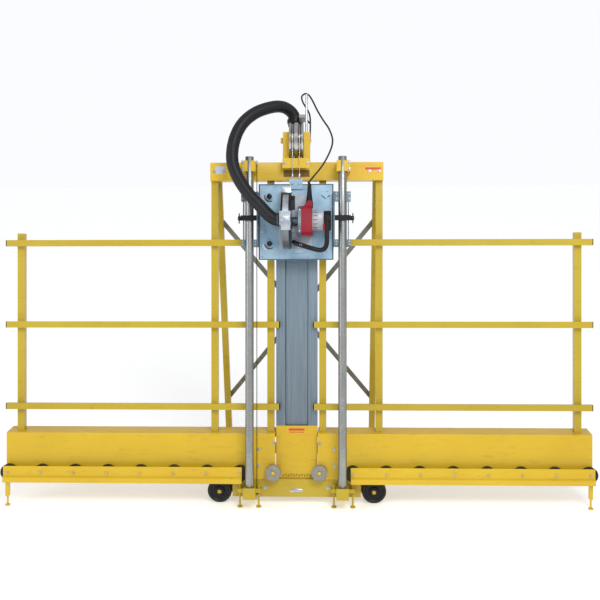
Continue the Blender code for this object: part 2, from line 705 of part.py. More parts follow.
node("lower_guard", lower_guard(), BLACK, origin=blade_centre)


def upper_guard():
    low = math.degrees(math.asin((GUARD_LOW - BLADE_Z) / 0.144))
    outline = [(TURN_Y - 0.020, GUARD_LOW), *arc(centre, 0.144, low, 112, 20)]
    shell = prism(outline, BLADE_X - 0.024, BLADE_X + 0.022)
    hollow = prism([(TURN_Y - 0.09, 0.05), (TURN_Y + 0.1405, 0.05)] + arc(centre, 0.1405, 0, 180, 24),
                   BLADE_X - 0.0215, BLADE_X + 0.0195)
    nose = block((BLADE_X - 0.024, BLADE_X + 0.022), (TURN_Y + 0.1250, TURN_Y + 0.172), (0.104, 0.135))
    port = block((-0.0755, BLADE_X + 0.0240), (TURN_Y - 0.030, TURN_Y + 0.038), (0.128, 0.2475))
    arbor = rod((BLADE_X + 0.01, TURN_Y, BLADE_Z), (BLADE_X + 0.1, TURN_Y, BLADE_Z), 0.014, 16)
    throat = rod((-0.2, TURN_Y + 0.004, 0.164), (BLADE_X - 0.0225, TURN_Y + 0.004, 0.164), 0.026, 20)
    return shell, hollow, nose, port, arbor, throat


shell, hollow, nose, port, arbor, throat = upper_guard()
node("upper_guard", fused([shell, nose, port], [hollow, arbor, throat]), GREY_CAST, origin=blade_centre)

# Saw body: gear neck, motor, rear cap and the cord's boot
MOTOR_Z, MOTOR_R = 0.140, 0.050


def saw_body():
    pieces = [
        block((0.014, 0.088), (TURN_Y - 0.074, TURN_Y + 0.070), (TURN_FRONT + GAP, 0.200)),
        rod((0.080, TURN_Y, MOTOR_Z), (0.178, TURN_Y, MOTOR_Z), MOTOR_R, 32),
        rod((BLADE_X + 0.0225, TURN_Y, BLADE_Z), (0.020, TURN_Y, BLADE_Z), 0.022, 20),
        rod((BLADE_X - 0.010, TURN_Y, BLADE_Z), (0.010, TURN_Y, BLADE_Z), ARBOR_R, 16),
        rod((0.070, TURN_Y + 0.060, 0.160), (0.070, TURN_Y + 0.125, 0.160), 0.019, 20, 0.014),
        rod((0.070, TURN_Y + 0.120, 0.160), (0.070, TURN_Y + 0.182, 0.160), 0.0135, 16, 0.008),
    ]
    return fused(pieces)


node("saw_body", saw_body(), RED, origin=carriage_origin)

HANDLE_R, GRIP_X, GRIP_Z = 0.012, 0.157, 0.204


def handle():
    low = TURN_Y - 0.150
    route = smooth_route(
        [(-0.006, low + 0.048, 0.150), (-0.002, low + 0.037, 0.172), (0.030, low + 0.025, 0.192),
         (0.078, low + 0.010, 0.202), (0.120, low, GRIP_Z), (0.144, low + 0.006, GRIP_Z),
         (0.155, low + 0.026, GRIP_Z), (GRIP_X, low + 0.060, GRIP_Z), (GRIP_X, low + 0.110, GRIP_Z),
         (GRIP_X, low + 0.165, GRIP_Z)], 0.016)
    tube = wire(route, HANDLE_R, 3)
    foot = block((GRIP_X - 0.010, GRIP_X + 0.010), (low + 0.140, low + 0.172), (0.1903, 0.206))
    lug = block((-0.016, 0.0137), (low + 0.034, TURN_Y - 0.060), (0.110, 0.165))
    pocket_z = (GRIP_Z - 0.0055, GRIP_Z + 0.0055)
    pocket = block((GRIP_X - 0.013, GRIP_X - 0.001), (low + 0.094, low + 0.132), pocket_z)
    return fused([tube, foot, lug], [pocket])


node("handle", handle(), BLACK, origin=carriage_origin)
trigger_y = TURN_Y - 0.037
node("trigger", block((GRIP_X - 0.020, GRIP_X - 0.0055), (trigger_y - 0.018, trigger_y + 0.018),
                      (GRIP_Z - 0.005, GRIP_Z + 0.005)), RED, origin=(GRIP_X - 0.015, trigger_y, GRIP_Z))


# Steel cables, from the carriage over the pulley down to the counterweight
def cable(x):
    front, rear = PULLEY_Z + CABLE_TURN_R, PULLEY_Z - CABLE_TURN_R
    points = [(x, 1.6405, CABLE_Z), (x, PULLEY_Y - 0.005, CABLE_Z)]
    for i in range(13):
        angle = math.pi * i / 12
        rise, out = CABLE_TURN_R * math.sin(angle), CABLE_TURN_R * math.cos(angle)
        points.append((x, PULLEY_Y + rise, PULLEY_Z + out))
    points.append((x, 0.500 + GAP, rear))
    return wire(points, CABLE_R, 1)


yoke = block((-0.024, 0.024), (0.500 + GAP, 0.508), (-0.1085, -0.0985))
node("counterweight_cables", fused([cable(-CABLE_X), cable(CABLE_X), yoke]), CHROME)

# Dust hose, from the guard's port round over the top and down into the dust pipe
hose_route = [
    (-0.0765, TURN_Y + 0.004, 0.164), (-0.100, TURN_Y + 0.005, 0.165), (-0.130, TURN_Y + 0.024, 0.168),
    (-0.175, 1.519, 0.170), (-0.240, 1.590, 0.168),
    (-0.293, 1.676, 0.155), (-0.317, 1.758, 0.132), (-0.310, 1.855, 0.100), (-0.275, 1.944, 0.060),
    (-0.213, 2.013, 0.000), (-0.133, 2.057, -0.070), (-0.074, 2.068, -0.125), (-0.030, 2.045, -0.162),
    (PIPE_X, 2.000, -0.172), (PIPE_X, 1.900, -0.179), (PIPE_X, 1.760, PIPE_Z), (PIPE_X, 1.640, PIPE_Z),
    (PIPE_X, PIPE_HIGH + GAP, PIPE_Z),
]
hose_line = smooth_route(hose_route, 0.05)
hose_line.insert(1, hose_line[0] + Vector((-0.012, 0, 0)))
node("dust_hose", wire(hose_line, HOSE_R - 0.0005, 4), BLACK)

# Power cord, from the saw's boot over the mast, down behind the channel to a coil on the floor
upper_route = [
    (0.070, TURN_Y + 0.1825, 0.160), (0.0720, 1.642, 0.160), (0.0925, 1.667, 0.159), (0.137, 1.724, 0.151),
    (0.173, 1.796, 0.130), (0.1850, 1.853, 0.108), (0.168, 1.912, 0.084), (0.135, 1.968, 0.053),
    (0.107, 2.021, 0.022), (0.081, 2.078, -0.005),
    (0.060, 2.112, -0.030), (0.038, 2.119, -0.044), (0.025, 2.103, -0.050), (0.034, 2.072, -0.053),
    (0.052, 2.045, -0.056),
    (0.067, 2.010, -0.064), (0.069, 1.950, -0.087), (0.064, 1.860, -0.125), (0.058, 1.760, -0.152),
    (0.058, 1.600, -0.158), (0.058, 1.200, -0.160), (0.058, 0.800, -0.160), (0.058, 0.450, -0.162),
    (0.060, 0.280, -0.175),
]
floor_route = [
    (0.064, 0.240, 0.060), (0.068, 0.285, 0.0145), (0.070, 0.320, CORD_R + 0.0006),
    (COIL_CENTRE[0] - 0.056, COIL_CENTRE[1] - 0.050, CORD_R + 0.0006),
]
cord_route = [to_world(*point) for point in upper_route] + [Vector(point) for point in floor_route]
cord_line = smooth_route(cord_route, 0.042)
cord_line.insert(1, to_world(0.070, TURN_Y + 0.1905, 0.160))
node("power_cord", wire(cord_line, CORD_R, 2), BLACK, parent=base)
coil_profile = ring(COIL_MID_R + 2 * CORD_R, COIL_MID_R - 2 * CORD_R, 3 * CORD_R)
coil_place = (*COIL_CENTRE, 3 * CORD_R)
node("cord_coil", turned(coil_profile, coil_place, (0, 0, 1)), BLACK, origin=coil_place, parent=base)


def plug():
    """The plug beside the coil, with the last of the cord, which leaves the coil's side on a tangent."""
    x, high = COIL_CENTRE[0] + COIL_MID_R + CORD_R, 0.016
    leaves, rear, front = (COIL_CENTRE[1] - run for run in (0.035, 0.047, 0.095))
    tail = rod((x, leaves, 3 * CORD_R), (x, rear - WELD, high), CORD_R, 12)
    body = rod((x, rear, high), (x, front, high), 0.011, 16, 0.0155)
    prong_y, prong_z = (front - 0.018, front + 0.001), (high - 0.003, high + 0.003)
    prongs = [block((x + shift, x + shift + 0.0015), prong_y, prong_z) for shift in (-0.007, 0.0055)]
    return fused([tail, body, *prongs])


node("plug", plug(), BLACK, parent=base)
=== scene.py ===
"""The looks of a vertical panel saw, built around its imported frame.

The machine leans back by LEAN. Its slope coordinates are (x, v, w): x along the bed, v up the
slope and w out towards the operator, with w = 0 on the face that a sheet rests on. All in metres.
"""

import json
import math

import bmesh
import bpy
import numpy as np
from mathutils import Matrix, Vector


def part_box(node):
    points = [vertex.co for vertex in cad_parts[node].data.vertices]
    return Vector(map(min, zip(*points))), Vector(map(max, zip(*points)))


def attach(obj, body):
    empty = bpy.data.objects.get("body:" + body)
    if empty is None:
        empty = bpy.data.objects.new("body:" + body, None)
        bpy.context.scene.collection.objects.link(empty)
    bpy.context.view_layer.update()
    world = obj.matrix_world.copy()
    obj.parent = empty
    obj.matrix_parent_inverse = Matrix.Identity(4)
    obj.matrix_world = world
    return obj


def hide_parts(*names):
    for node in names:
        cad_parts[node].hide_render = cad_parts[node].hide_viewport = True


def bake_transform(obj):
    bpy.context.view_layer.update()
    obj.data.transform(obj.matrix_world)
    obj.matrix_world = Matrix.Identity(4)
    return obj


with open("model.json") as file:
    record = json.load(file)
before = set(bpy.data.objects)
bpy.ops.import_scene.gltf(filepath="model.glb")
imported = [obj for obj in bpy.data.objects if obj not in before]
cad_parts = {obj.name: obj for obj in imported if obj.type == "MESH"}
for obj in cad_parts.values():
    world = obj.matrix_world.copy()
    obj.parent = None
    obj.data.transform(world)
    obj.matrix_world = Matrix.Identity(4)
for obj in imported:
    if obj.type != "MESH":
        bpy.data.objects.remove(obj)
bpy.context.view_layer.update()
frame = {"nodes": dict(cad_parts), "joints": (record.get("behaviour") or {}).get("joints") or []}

# ---- The slope and the camera ----
# The operator stands in front of the bed, a little right of its middle, and looks square at the
# leaning wall.
LEAN = math.radians(10)
TURN_V, PLATE_W = 1.4475, 0.062  # the turntable's centre, and the carriage plate's front
saw_turn = next(joint for joint in frame["joints"] if joint["name"] == "saw_turn")
FOOT_Y = saw_turn["pos_m"][1] - TURN_V * math.sin(LEAN) + PLATE_W * math.cos(LEAN)
UP_SLOPE = np.array([0.0, math.sin(LEAN), math.cos(LEAN)])
OUTWARD = np.array([0.0, -math.cos(LEAN), math.sin(LEAN)])


def sloped(points):
    """Slope coordinates to the row frame: x along X, v along UP_SLOPE and w along OUTWARD."""
    points = np.asarray(points, float)
    return (points[..., :1] * [1, 0, 0] + points[..., 1:2] * UP_SLOPE + points[..., 2:] * OUTWARD
            + [0, FOOT_Y, 0])


VIEW_DISTANCE, VIEW_YAW = 4.8, math.radians(1.9)
aim = Vector(sloped([0.018, 1.052, 0.0]))
backwards = Vector(math.sin(VIEW_YAW) * np.array([1, 0, 0]) + math.cos(VIEW_YAW) * OUTWARD)
sideways = Vector(UP_SLOPE).cross(backwards).normalized()
camera = bpy.data.objects.new("camera", bpy.data.cameras.new("camera"))
bpy.context.scene.collection.objects.link(camera)
turned = Matrix((sideways, backwards.cross(sideways), backwards)).transposed()
camera.matrix_world = Matrix.Translation(aim + VIEW_DISTANCE * backwards) @ turned.to_4x4()
camera.data.lens = 56.1
bpy.context.scene.camera = camera

# ---- Studio ----
# A pale floor that runs on out of sight, an even white surround, and two large soft lamps in front.
# The floor glows a little more further away, so that it meets the surround softly.
scene = bpy.context.scene
scene.view_settings.view_transform = "Standard"


def linear(code):
    """A colour's sRGB hex code as linear RGBA."""
    values = [int(code[i : i + 2], 16) / 255 for i in (1, 3, 5)]
    return [v / 12.92 if v <= 0.04045 else ((v + 0.055) / 1.055) ** 2.4 for v in values] + [1.0]


def add_node(tree, kind, inputs=None, **settings):
    """A new shader node of a kind with its settings, and its inputs linked to sockets or set to
    values, where a hex code is a colour. A Mix of colours has them at inputs 6 and 7 and its result
    at output 2."""
    made = tree.nodes.new(f"ShaderNode{kind}")
    for name, value in settings.items():
        setattr(made, name, value)
    for name, value in (inputs or {}).items():
        if isinstance(value, bpy.types.NodeSocket):
            tree.links.new(value, made.inputs[name])
        else:
            made.inputs[name].default_value = linear(value) if isinstance(value, str) else value
    return made


def new_material(name):
    """An empty material, its node tree with the output node in place, and the places on the piece
    that its patterns read."""
    material = bpy.data.materials.new(name)
    material.use_nodes = True
    tree = material.node_tree
    tree.nodes.clear()
    add_node(tree, "OutputMaterial")
    return material, tree, add_node(tree, "TexCoord").outputs


def show(tree, shader):
    """Links a shader to the material's output."""
    output = next(n for n in tree.nodes if n.type == "OUTPUT_MATERIAL")
    tree.links.new(shader.outputs[0], output.inputs["Surface"])


floor_paint, tree, place = new_material("floor_paint")
tone = add_node(tree, "TexNoise", {"Vector": place["Object"], "Scale": 3.0, "Detail": 2.0})
away = add_node(tree, "VectorMath", {0: place["Object"]}, operation="LENGTH")
glow = add_node(tree, "MapRange", {"Value": away.outputs["Value"], "From Min": 2.0, "From Max": 7.0,
                                   "To Min": 0.33, "To Max": 0.43})
pale = add_node(tree, "Mix", {0: tone.outputs["Fac"], 6: "#F4F4F2", 7: "#F8F8F7"}, data_type="RGBA")
show(tree, add_node(tree, "BsdfPrincipled", {
    "Base Color": pale.outputs[2], "Roughness": 0.7, "Emission Color": "#FFFFFF",
    "Emission Strength": glow.outputs["Result"]}))
floor_mesh = bpy.data.meshes.new("floor")
reach = 30.0
floor_mesh.from_pydata([(-reach, -reach, 0), (reach, -reach, 0), (reach, reach, 0), (-reach, reach, 0)], [],
                       [(0, 1, 2, 3)])
floor_mesh.materials.append(floor_paint)
floor = bpy.data.objects.new("floor", floor_mesh)
scene.collection.objects.link(floor)

# The surround lights the machine softly, and is plain white where it is seen behind it.
world = bpy.data.worlds.new("surround")
scene.world = world
world.use_nodes = True
sky = world.node_tree
backdrop = sky.nodes["Background"]
backdrop.inputs["Color"].default_value = linear("#FBFCFF")
rays = add_node(sky, "LightPath")
glow = add_node(sky, "MapRange", {"Value": rays.outputs["Is Camera Ray"], "To Min": 0.62, "To Max": 1.0})
sky.links.new(glow.outputs["Result"], backdrop.inputs["Strength"])


def soft_lamp(name, place, target, size, power):
    """A square area lamp that faces the target."""
    data = bpy.data.lights.new(name, "AREA")
    data.size, data.energy = size, power
    lamp = bpy.data.objects.new(name, data)
    lamp.location = place
    lamp.rotation_euler = (Vector(target) - Vector(place)).to_track_quat("-Z", "Y").to_euler()
    scene.collection.objects.link(lamp)


soft_lamp("high_lamp", (1.6, -4.2, 4.6), (0, 0, 1.0), 2.2, 160)
soft_lamp("left_lamp", (-4.2, -3.0, 2.6), (0, 0, 1.0), 2.6, 50)

# ---- Dust hose ----
# Black vinyl suction hose with a spiral rib, from the saw guard's port over the top to a steel pipe
# behind the machine. Its front length is a piece of its own, the rear one stays with the frame.
HOSE_R, RIB_PITCH, RIB_DEPTH = 0.032, 0.0085, 0.0011
PIPE_X, PIPE_TOP, PIPE_W = -0.012, 1.560, -0.182
PORT_V, PORT_W = TURN_V + 0.004, 0.164


def along_curve(points, step):
    """Evenly spaced points on the Catmull-Rom curve through a route's own points."""
    p = np.asarray(points, float)
    p = np.vstack([2 * p[0] - p[1], p, 2 * p[-1] - p[-2]])
    t = np.linspace(0, 1, 40, endpoint=False)[None, :, None]
    a, b, c, d = (p[i : len(p) - 3 + i, None, :] for i in range(4))
    fine = 0.5 * (2 * b + (c - a) * t + (2 * a - 5 * b + 4 * c - d) * t**2 + (3 * b - a - 3 * c + d) * t**3)
    fine = np.vstack([fine.reshape(-1, 3), p[-2]])
    run = np.concatenate([[0], np.cumsum(np.linalg.norm(np.diff(fine, axis=0), axis=1))])
    at = np.linspace(0, run[-1], max(2, round(run[-1] / step) + 1))
    return np.stack([np.interp(at, run, fine[:, k]) for k in range(3)], -1)


def carried_frames(path):
    """Two directions across a path at each of its points, turned as little as possible along it."""
    ahead = np.gradient(path, axis=0)
    ahead /= np.linalg.norm(ahead, axis=1, keepdims=True)
    across = np.empty_like(path)
    start = np.eye(3)[np.argmin(np.abs(ahead[0]))]
    for i, direction in enumerate(ahead):
        start = start - start.dot(direction) * direction
        start /= np.linalg.norm(start)
        across[i] = start
    return across, np.cross(ahead, across)


def grid_shape(points, uv=None, looped=False):
    """A closed shape from a grid of points: quads between neighbours, with the last column joined to
    the first, and the last row to the first where looped, or else a face over each end. The UV is in
    metres, with one more row and column than the quads."""
    rows, columns = points.shape[:2]
    index = np.arange(rows * columns).reshape(rows, columns)
    low, high = (index, np.roll(index, -1, axis=0)) if looped else (index[:-1], index[1:])
    quads = np.stack([low, np.roll(low, -1, axis=1), np.roll(high, -1, axis=1), high], -1)
    faces = quads.reshape(-1, 4).tolist()
    if uv is None:
        uv = np.zeros((len(low) + 1, columns + 1, 2))
    corners = np.stack([uv[:-1, :-1], uv[:-1, 1:], uv[1:, 1:], uv[1:, :-1]], 2).reshape(-1, 2)
    if not looped:
        faces += [index[0][::-1].tolist(), index[-1].tolist()]
        corners = np.vstack([corners, uv[0, :columns][::-1], uv[-1, :columns]])
    return points.reshape(-1, 3), faces, corners


def tube(path, radius, sides=20):
    """A round skin about a path. The radius is a number, one for each point, or a function of the
    length run and the angle round."""
    across, over = carried_frames(path)
    run = np.concatenate([[0], np.cumsum(np.linalg.norm(np.diff(path, axis=0), axis=1))])[:, None]
    angle = np.linspace(0, 2 * math.pi, sides, endpoint=False)[None, :]
    r = radius(run, angle) if callable(radius) else np.reshape(radius, (-1, 1)) + 0 * angle + 0 * run
    points = path[:, None] + r[..., None] * (np.cos(angle)[..., None] * across[:, None]
                                             + np.sin(angle)[..., None] * over[:, None])
    round_metres = np.linspace(0, 2 * math.pi * float(np.mean(r)), sides + 1)[None, :]
    uv = np.stack(np.broadcast_arrays(round_metres, run), -1)
    return grid_shape(points, uv)


def piece(name, shapes, body=None, replaces=(), bevel=0.0, crease=35):
    """One object made of (shape, material) pairs, closed shapes turned outwards, smooth up to the
    crease angle, its edges rounded where a bevel is given. It rides on a body."""
    points, faces, corners, which, materials = [], [], [], [], []
    start = 0
    for (own_points, own_faces, own_corners), material in shapes:
        if material not in materials:
            materials.append(material)
        fans = np.array([(f[0], f[i], f[i + 1]) for f in own_faces for i in range(1, len(f) - 1)])
        a, b, c = (own_points[fans[:, k]] for k in range(3))
        inside_out = np.einsum("ij,ij->", a, np.cross(b, c)) < 0
        lengths = [len(f) for f in own_faces]
        splits = np.cumsum(lengths)[:-1]
        for face, corner in zip(own_faces, np.split(own_corners, splits)):
            faces.append([start + i for i in (face[::-1] if inside_out else face)])
            corners.append(corner[::-1] if inside_out else corner)
        which += [materials.index(material)] * len(own_faces)
        points.append(own_points)
        start += len(own_points)
    mesh = bpy.data.meshes.new(name)
    mesh.from_pydata(np.vstack(points).tolist(), [], faces)
    mesh.uv_layers.new(name="UVMap").data.foreach_set("uv", np.vstack(corners).astype(np.float32).ravel())
    mesh.polygons.foreach_set("material_index", which)
    mesh.polygons.foreach_set("use_smooth", [True] * len(faces))
    for material in materials:
        mesh.materials.append(material)
    mesh.set_sharp_from_angle(angle=math.radians(crease))
    made = bpy.data.objects.new(name, mesh)
    scene.collection.objects.link(made)
    if bevel:
        rounding = made.modifiers.new("rounding", "BEVEL")
        rounding.width, rounding.segments, rounding.limit_method = bevel, 2, "ANGLE"
        rounding.angle_limit = math.radians(40)
    if body:
        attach(made, body)
    if replaces:
        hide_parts(*([replaces] if isinstance(replaces, str) else replaces))
    return made


# Vinyl: black with a blue cast, a soft gloss along each rib and dust in the valleys between them.
hose_vinyl, tree, place = new_material("ribbed_vinyl")
dust = add_node(tree, "TexNoise", {"Vector": place["Object"], "Scale": 22.0, "Detail": 5.0})
tone = add_node(tree, "Mix", {0: dust.outputs["Fac"], 6: "#06070B", 7: "#14151D"}, data_type="RGBA")
grain = add_node(tree, "TexNoise", {"Vector": place["Object"], "Scale": 900.0})
relief = add_node(tree, "Bump", {"Height": grain.outputs["Fac"], "Strength": 0.15, "Distance": 0.0004})
rough = add_node(tree, "MapRange", {"Value": dust.outputs["Fac"], "To Min": 0.34, "To Max": 0.55})
show(tree, add_node(tree, "BsdfPrincipled", {
    "Base Color": tone.outputs[2], "Roughness": rough.outputs["Result"], "IOR": 1.53,
    "Specular IOR Level": 0.35, "Normal": relief.outputs["Normal"]}))

hose_route = [
    (-0.0765, PORT_V, PORT_W), (-0.100, TURN_V + 0.005, 0.165), (-0.130, TURN_V + 0.024, 0.168),
    (-0.175, 1.519, 0.170), (-0.240, 1.590, 0.168), (-0.293, 1.676, 0.155), (-0.317, 1.758, 0.132),
    (-0.310, 1.855, 0.100), (-0.275, 1.944, 0.060), (-0.213, 2.013, 0.000), (-0.133, 2.057, -0.070),
    (-0.074, 2.068, -0.125), (-0.030, 2.045, -0.162), (PIPE_X, 2.000, -0.172), (PIPE_X, 1.900, -0.179),
    (PIPE_X, 1.760, PIPE_W), (PIPE_X, 1.640, PIPE_W), (PIPE_X, PIPE_TOP + 0.0003, PIPE_W),
]
RING_POINT = 13  # the route's point inside the mast's ring


def ribbed(run, angle):
    """The hose's radius: rounded ribs on a spiral of RIB_PITCH."""
    return HOSE_R - 0.0004 - RIB_DEPTH * (0.5 + 0.5 * np.cos(2 * math.pi * run / RIB_PITCH - angle))


hose_line = along_curve(sloped(hose_route), 0.0012)
ring_place = sloped(hose_route[RING_POINT])
split = int(np.argmin(np.linalg.norm(hose_line - ring_place, axis=1)))
front_line, rear_line = hose_line[: split + 1], hose_line[split:]
front_hose = piece("dust_hose_front", [(tube(front_line, ribbed, 28), hose_vinyl)], crease=80)
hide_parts("dust_hose")
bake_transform(front_hose)
rear_hose = piece("dust_hose_rear", [(tube(rear_line, ribbed, 28), hose_vinyl)], "frame",
                  "dust_hose", crease=80)


def length_of(line):
    """The length of a line of points."""
    return float(np.linalg.norm(np.diff(line, axis=0), axis=1).sum())


# ---- Power cord ----
# Black rubber flex, from the saw's boot over the mast's hook, down behind the channel and into a
# round coil on the floor, with its plug beside the coil.
CORD_R = 0.0045
COIL_X, COIL_Y, COIL_MID_R = 0.105, 0.400 + FOOT_Y, 0.052
upper_cord_route = [
    (0.070, TURN_V + 0.1825, 0.160), (0.0703, TURN_V + 0.1880, 0.160), (0.0720, 1.642, 0.160),
    (0.0925, 1.667, 0.159), (0.137, 1.724, 0.151), (0.173, 1.796, 0.130), (0.1850, 1.853, 0.108),
    (0.168, 1.912, 0.084), (0.135, 1.968, 0.053), (0.107, 2.021, 0.022), (0.081, 2.078, -0.005),
    (0.060, 2.112, -0.030),
    (0.038, 2.119, -0.044), (0.025, 2.103, -0.050), (0.034, 2.072, -0.053), (0.052, 2.045, -0.056),
    (0.067, 2.010, -0.064), (0.069, 1.950, -0.087), (0.064, 1.860, -0.125), (0.058, 1.760, -0.152),
    (0.058, 1.600, -0.158), (0.058, 1.200, -0.160), (0.058, 0.800, -0.160), (0.058, 0.450, -0.162),
    (0.060, 0.280, -0.175),
]
HOOK_POINT = 11  # the route's point beside the mast's hook
floor_route = [
    (0.064, 0.240 + FOOT_Y, 0.060), (0.068, 0.285 + FOOT_Y, 0.0145),
    (0.070, 0.320 + FOOT_Y, CORD_R + 0.0006), (COIL_X - 0.056, COIL_Y - 0.050, CORD_R + 0.0006),
]
cord_points = np.vstack([sloped(upper_cord_route), floor_route])
upper_line = along_curve(cord_points, 0.003)
hook_place = cord_points[HOOK_POINT]
split = int(np.argmin(np.linalg.norm(upper_line - hook_place, axis=1)))
saw_line, mast_line = upper_line[: split + 1], upper_line[split:]


def eased_steps(at, places, width):
    """How many of the given places have been passed, with a smooth step of that width at each."""
    t = np.clip((at[:, None] - (np.asarray(places) - width / 2)) / width, 0, 1)
    return t * t * (3 - 2 * t)


# The coil's turns: outer and inner on the floor, up the inside, then down the outside. Each step to
# the next place comes a little earlier round than the one before, so that no two turns meet.
COIL_ENTRY = 188  # degrees round, from +X
turn_angles = np.radians(np.linspace(0, COIL_ENTRY + 4 * 360, 560))
steps = eased_steps(turn_angles, np.radians([230, 550, 870, 1190, 1510]), math.radians(34))
coil_radius = COIL_MID_R + CORD_R * (1 - 2 * steps[:, 0] + 2 * steps[:, 3])
coil_height = CORD_R * (1 + 2 * steps[:, 1] + 2 * steps[:, 2] - 2 * steps[:, 4]) + 0.0003
heading = math.radians(COIL_ENTRY) - turn_angles
coil_turns = np.stack([COIL_X + coil_radius * np.cos(heading), COIL_Y + coil_radius * np.sin(heading),
                       coil_height], -1)
PLUG_X, PLUG_HIGH, plug_rear = COIL_X + COIL_MID_R + CORD_R, 0.016, COIL_Y - 0.047
tail = [(PLUG_X, COIL_Y - 0.024, 0.0148), (PLUG_X, plug_rear, PLUG_HIGH),
        (PLUG_X, plug_rear - 0.010, PLUG_HIGH)]
floor_line = along_curve(np.vstack([mast_line[:-1:8], coil_turns[::4], tail]), 0.003)

# Flex rubber: matt black, with a faint lengthwise grain from the extruder's die.
flex_rubber, tree, place = new_material("flex_rubber")
scuff = add_node(tree, "TexNoise", {"Vector": place["Object"], "Scale": 60.0, "Detail": 4.0})
tone = add_node(tree, "Mix", {0: scuff.outputs["Fac"], 6: "#07070A", 7: "#131318"}, data_type="RGBA")
along = add_node(tree, "Mapping", {"Vector": place["UV"], "Scale": (900, 12, 1)})
grain = add_node(tree, "TexNoise", {"Vector": along.outputs["Vector"], "Scale": 1.0})
relief = add_node(tree, "Bump", {"Height": grain.outputs["Fac"], "Strength": 0.2, "Distance": 0.0002})
show(tree, add_node(tree, "BsdfPrincipled", {
    "Base Color": tone.outputs[2], "Roughness": 0.48, "IOR": 1.52, "Normal": relief.outputs["Normal"]}))

saw_cord = piece("power_cord_to_saw", [(tube(saw_line, CORD_R - 0.0001, 14), flex_rubber)], crease=80)
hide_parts("power_cord")
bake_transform(saw_cord)
floor_cord = piece("power_cord_to_coil", [(tube(floor_line, CORD_R - 0.0001, 12), flex_rubber)], "frame",
                   ["power_cord", "cord_coil"], crease=80)


def lathe(profile, centre, axis, sides=48, looped=False, wave=None):
    """A skin of a (radius, height) profile turned about an axis. A looped profile makes a ring. A
    wave, a function of the angle and the height, is added to the radius."""
    axis = np.asarray(axis, float) / np.linalg.norm(axis)
    across = np.cross(axis, np.eye(3)[np.argmin(np.abs(axis))])
    across /= np.linalg.norm(across)
    over = np.cross(axis, across)
    radius, height = (values[:, None] for values in np.asarray(profile, float).T)
    angle = np.linspace(0, 2 * math.pi, sides, endpoint=False)[None, :]
    r = radius + (wave(angle, height) if wave else 0 * angle)
    points = (np.asarray(centre, float) + (height + 0 * angle)[..., None] * axis
              + (r * np.cos(angle))[..., None] * across + (r * np.sin(angle))[..., None] * over)
    closing = np.vstack([profile, profile[:1]]) if looped else np.asarray(profile, float)
    run = np.concatenate([[0], np.cumsum(np.linalg.norm(np.diff(closing, axis=0), axis=1))])[:, None]
    round_metres = np.linspace(0, 2 * math.pi * float(radius.max()), sides + 1)[None, :]
    return grid_shape(points, np.stack(np.broadcast_arrays(round_metres, run), -1), looped)


def box_shape(x, y, z):
    """A cuboid between two values on each axis."""
    return prism_shape([(y[0], z[0]), (y[1], z[0]), (y[1], z[1]), (y[0], z[1])], *x)


def prism_shape(outline, low, high, along="x"):
    """An outline of (first, second) points, extruded between two values of x, y or z. The outline's
    axes are the other two, in order."""
    flat = np.asarray(outline, float)
    ends = []
    for value in (low, high):
        columns = {"x": (np.full(len(flat), value), flat[:, 0], flat[:, 1]),
                   "y": (flat[:, 0], np.full(len(flat), value), flat[:, 1]),
                   "z": (flat[:, 0], flat[:, 1], np.full(len(flat), value))}[along]
        ends.append(np.stack(columns, -1))
    return grid_shape(np.stack(ends))


def lean(shape):
    """A shape in slope coordinates, brought into the row frame."""
    points, faces, corners = shape
    return sloped(points), faces, corners


# The plug: moulded round the flex, with a ribbed, tapered strain relief and two flat prongs.
plastic_black, tree, place = new_material("moulded_black_plastic")
spread = add_node(tree, "TexNoise", {"Vector": place["Object"], "Scale": 45.0, "Detail": 3.0})
tone = add_node(tree, "Mix", {0: spread.outputs["Fac"], 6: "#070709", 7: "#151519"}, data_type="RGBA")
sparks = add_node(tree, "TexNoise", {"Vector": place["Object"], "Scale": 1400.0})
relief = add_node(tree, "Bump", {"Height": sparks.outputs["Fac"], "Strength": 0.25, "Distance": 0.0003})
rough = add_node(tree, "MapRange", {"Value": spread.outputs["Fac"], "To Min": 0.32, "To Max": 0.5})
show(tree, add_node(tree, "BsdfPrincipled", {
    "Base Color": tone.outputs[2], "Roughness": rough.outputs["Result"], "IOR": 1.5,
    "Specular IOR Level": 0.3, "Normal": relief.outputs["Normal"]}))

plug_run = np.linspace(0, 0.014, 29)
rib = np.cos(plug_run / 0.0028 * 2 * math.pi) > 0
relief_radius = np.interp(plug_run, [0, 0.014], [0.0062, 0.0098]) - 0.0007 * rib
plug_profile = [*zip(relief_radius, plug_run), (0.0135, 0.017), (0.0150, 0.022), (0.0154, 0.040),
                (0.0148, 0.0465), (0.0135, 0.048)]
plug_shapes = [(lathe(plug_profile, (PLUG_X, plug_rear, PLUG_HIGH), (0, -1, 0)), plastic_black)]

# Bright steel: zinc plated, a metal with a clean narrow highlight and faint drawing lines.
bright_zinc, tree, place = new_material("bright_zinc_plate")
lines = add_node(tree, "Mapping", {"Vector": place["UV"], "Scale": (420, 9, 1)})
drawn = add_node(tree, "TexNoise", {"Vector": lines.outputs["Vector"], "Scale": 1.0, "Detail": 3.0})
blotch = add_node(tree, "TexNoise", {"Vector": place["Object"], "Scale": 14.0, "Detail": 5.0})
tone = add_node(tree, "Mix", {0: blotch.outputs["Fac"], 6: "#9FA4AA", 7: "#CDD1D5"}, data_type="RGBA")
rough = add_node(tree, "MapRange", {"Value": drawn.outputs["Fac"], "To Min": 0.20, "To Max": 0.42})
relief = add_node(tree, "Bump", {"Height": drawn.outputs["Fac"], "Strength": 0.12, "Distance": 0.0002})
show(tree, add_node(tree, "BsdfPrincipled", {
    "Base Color": tone.outputs[2], "Metallic": 1.0, "Roughness": rough.outputs["Result"],
    "Normal": relief.outputs["Normal"]}))
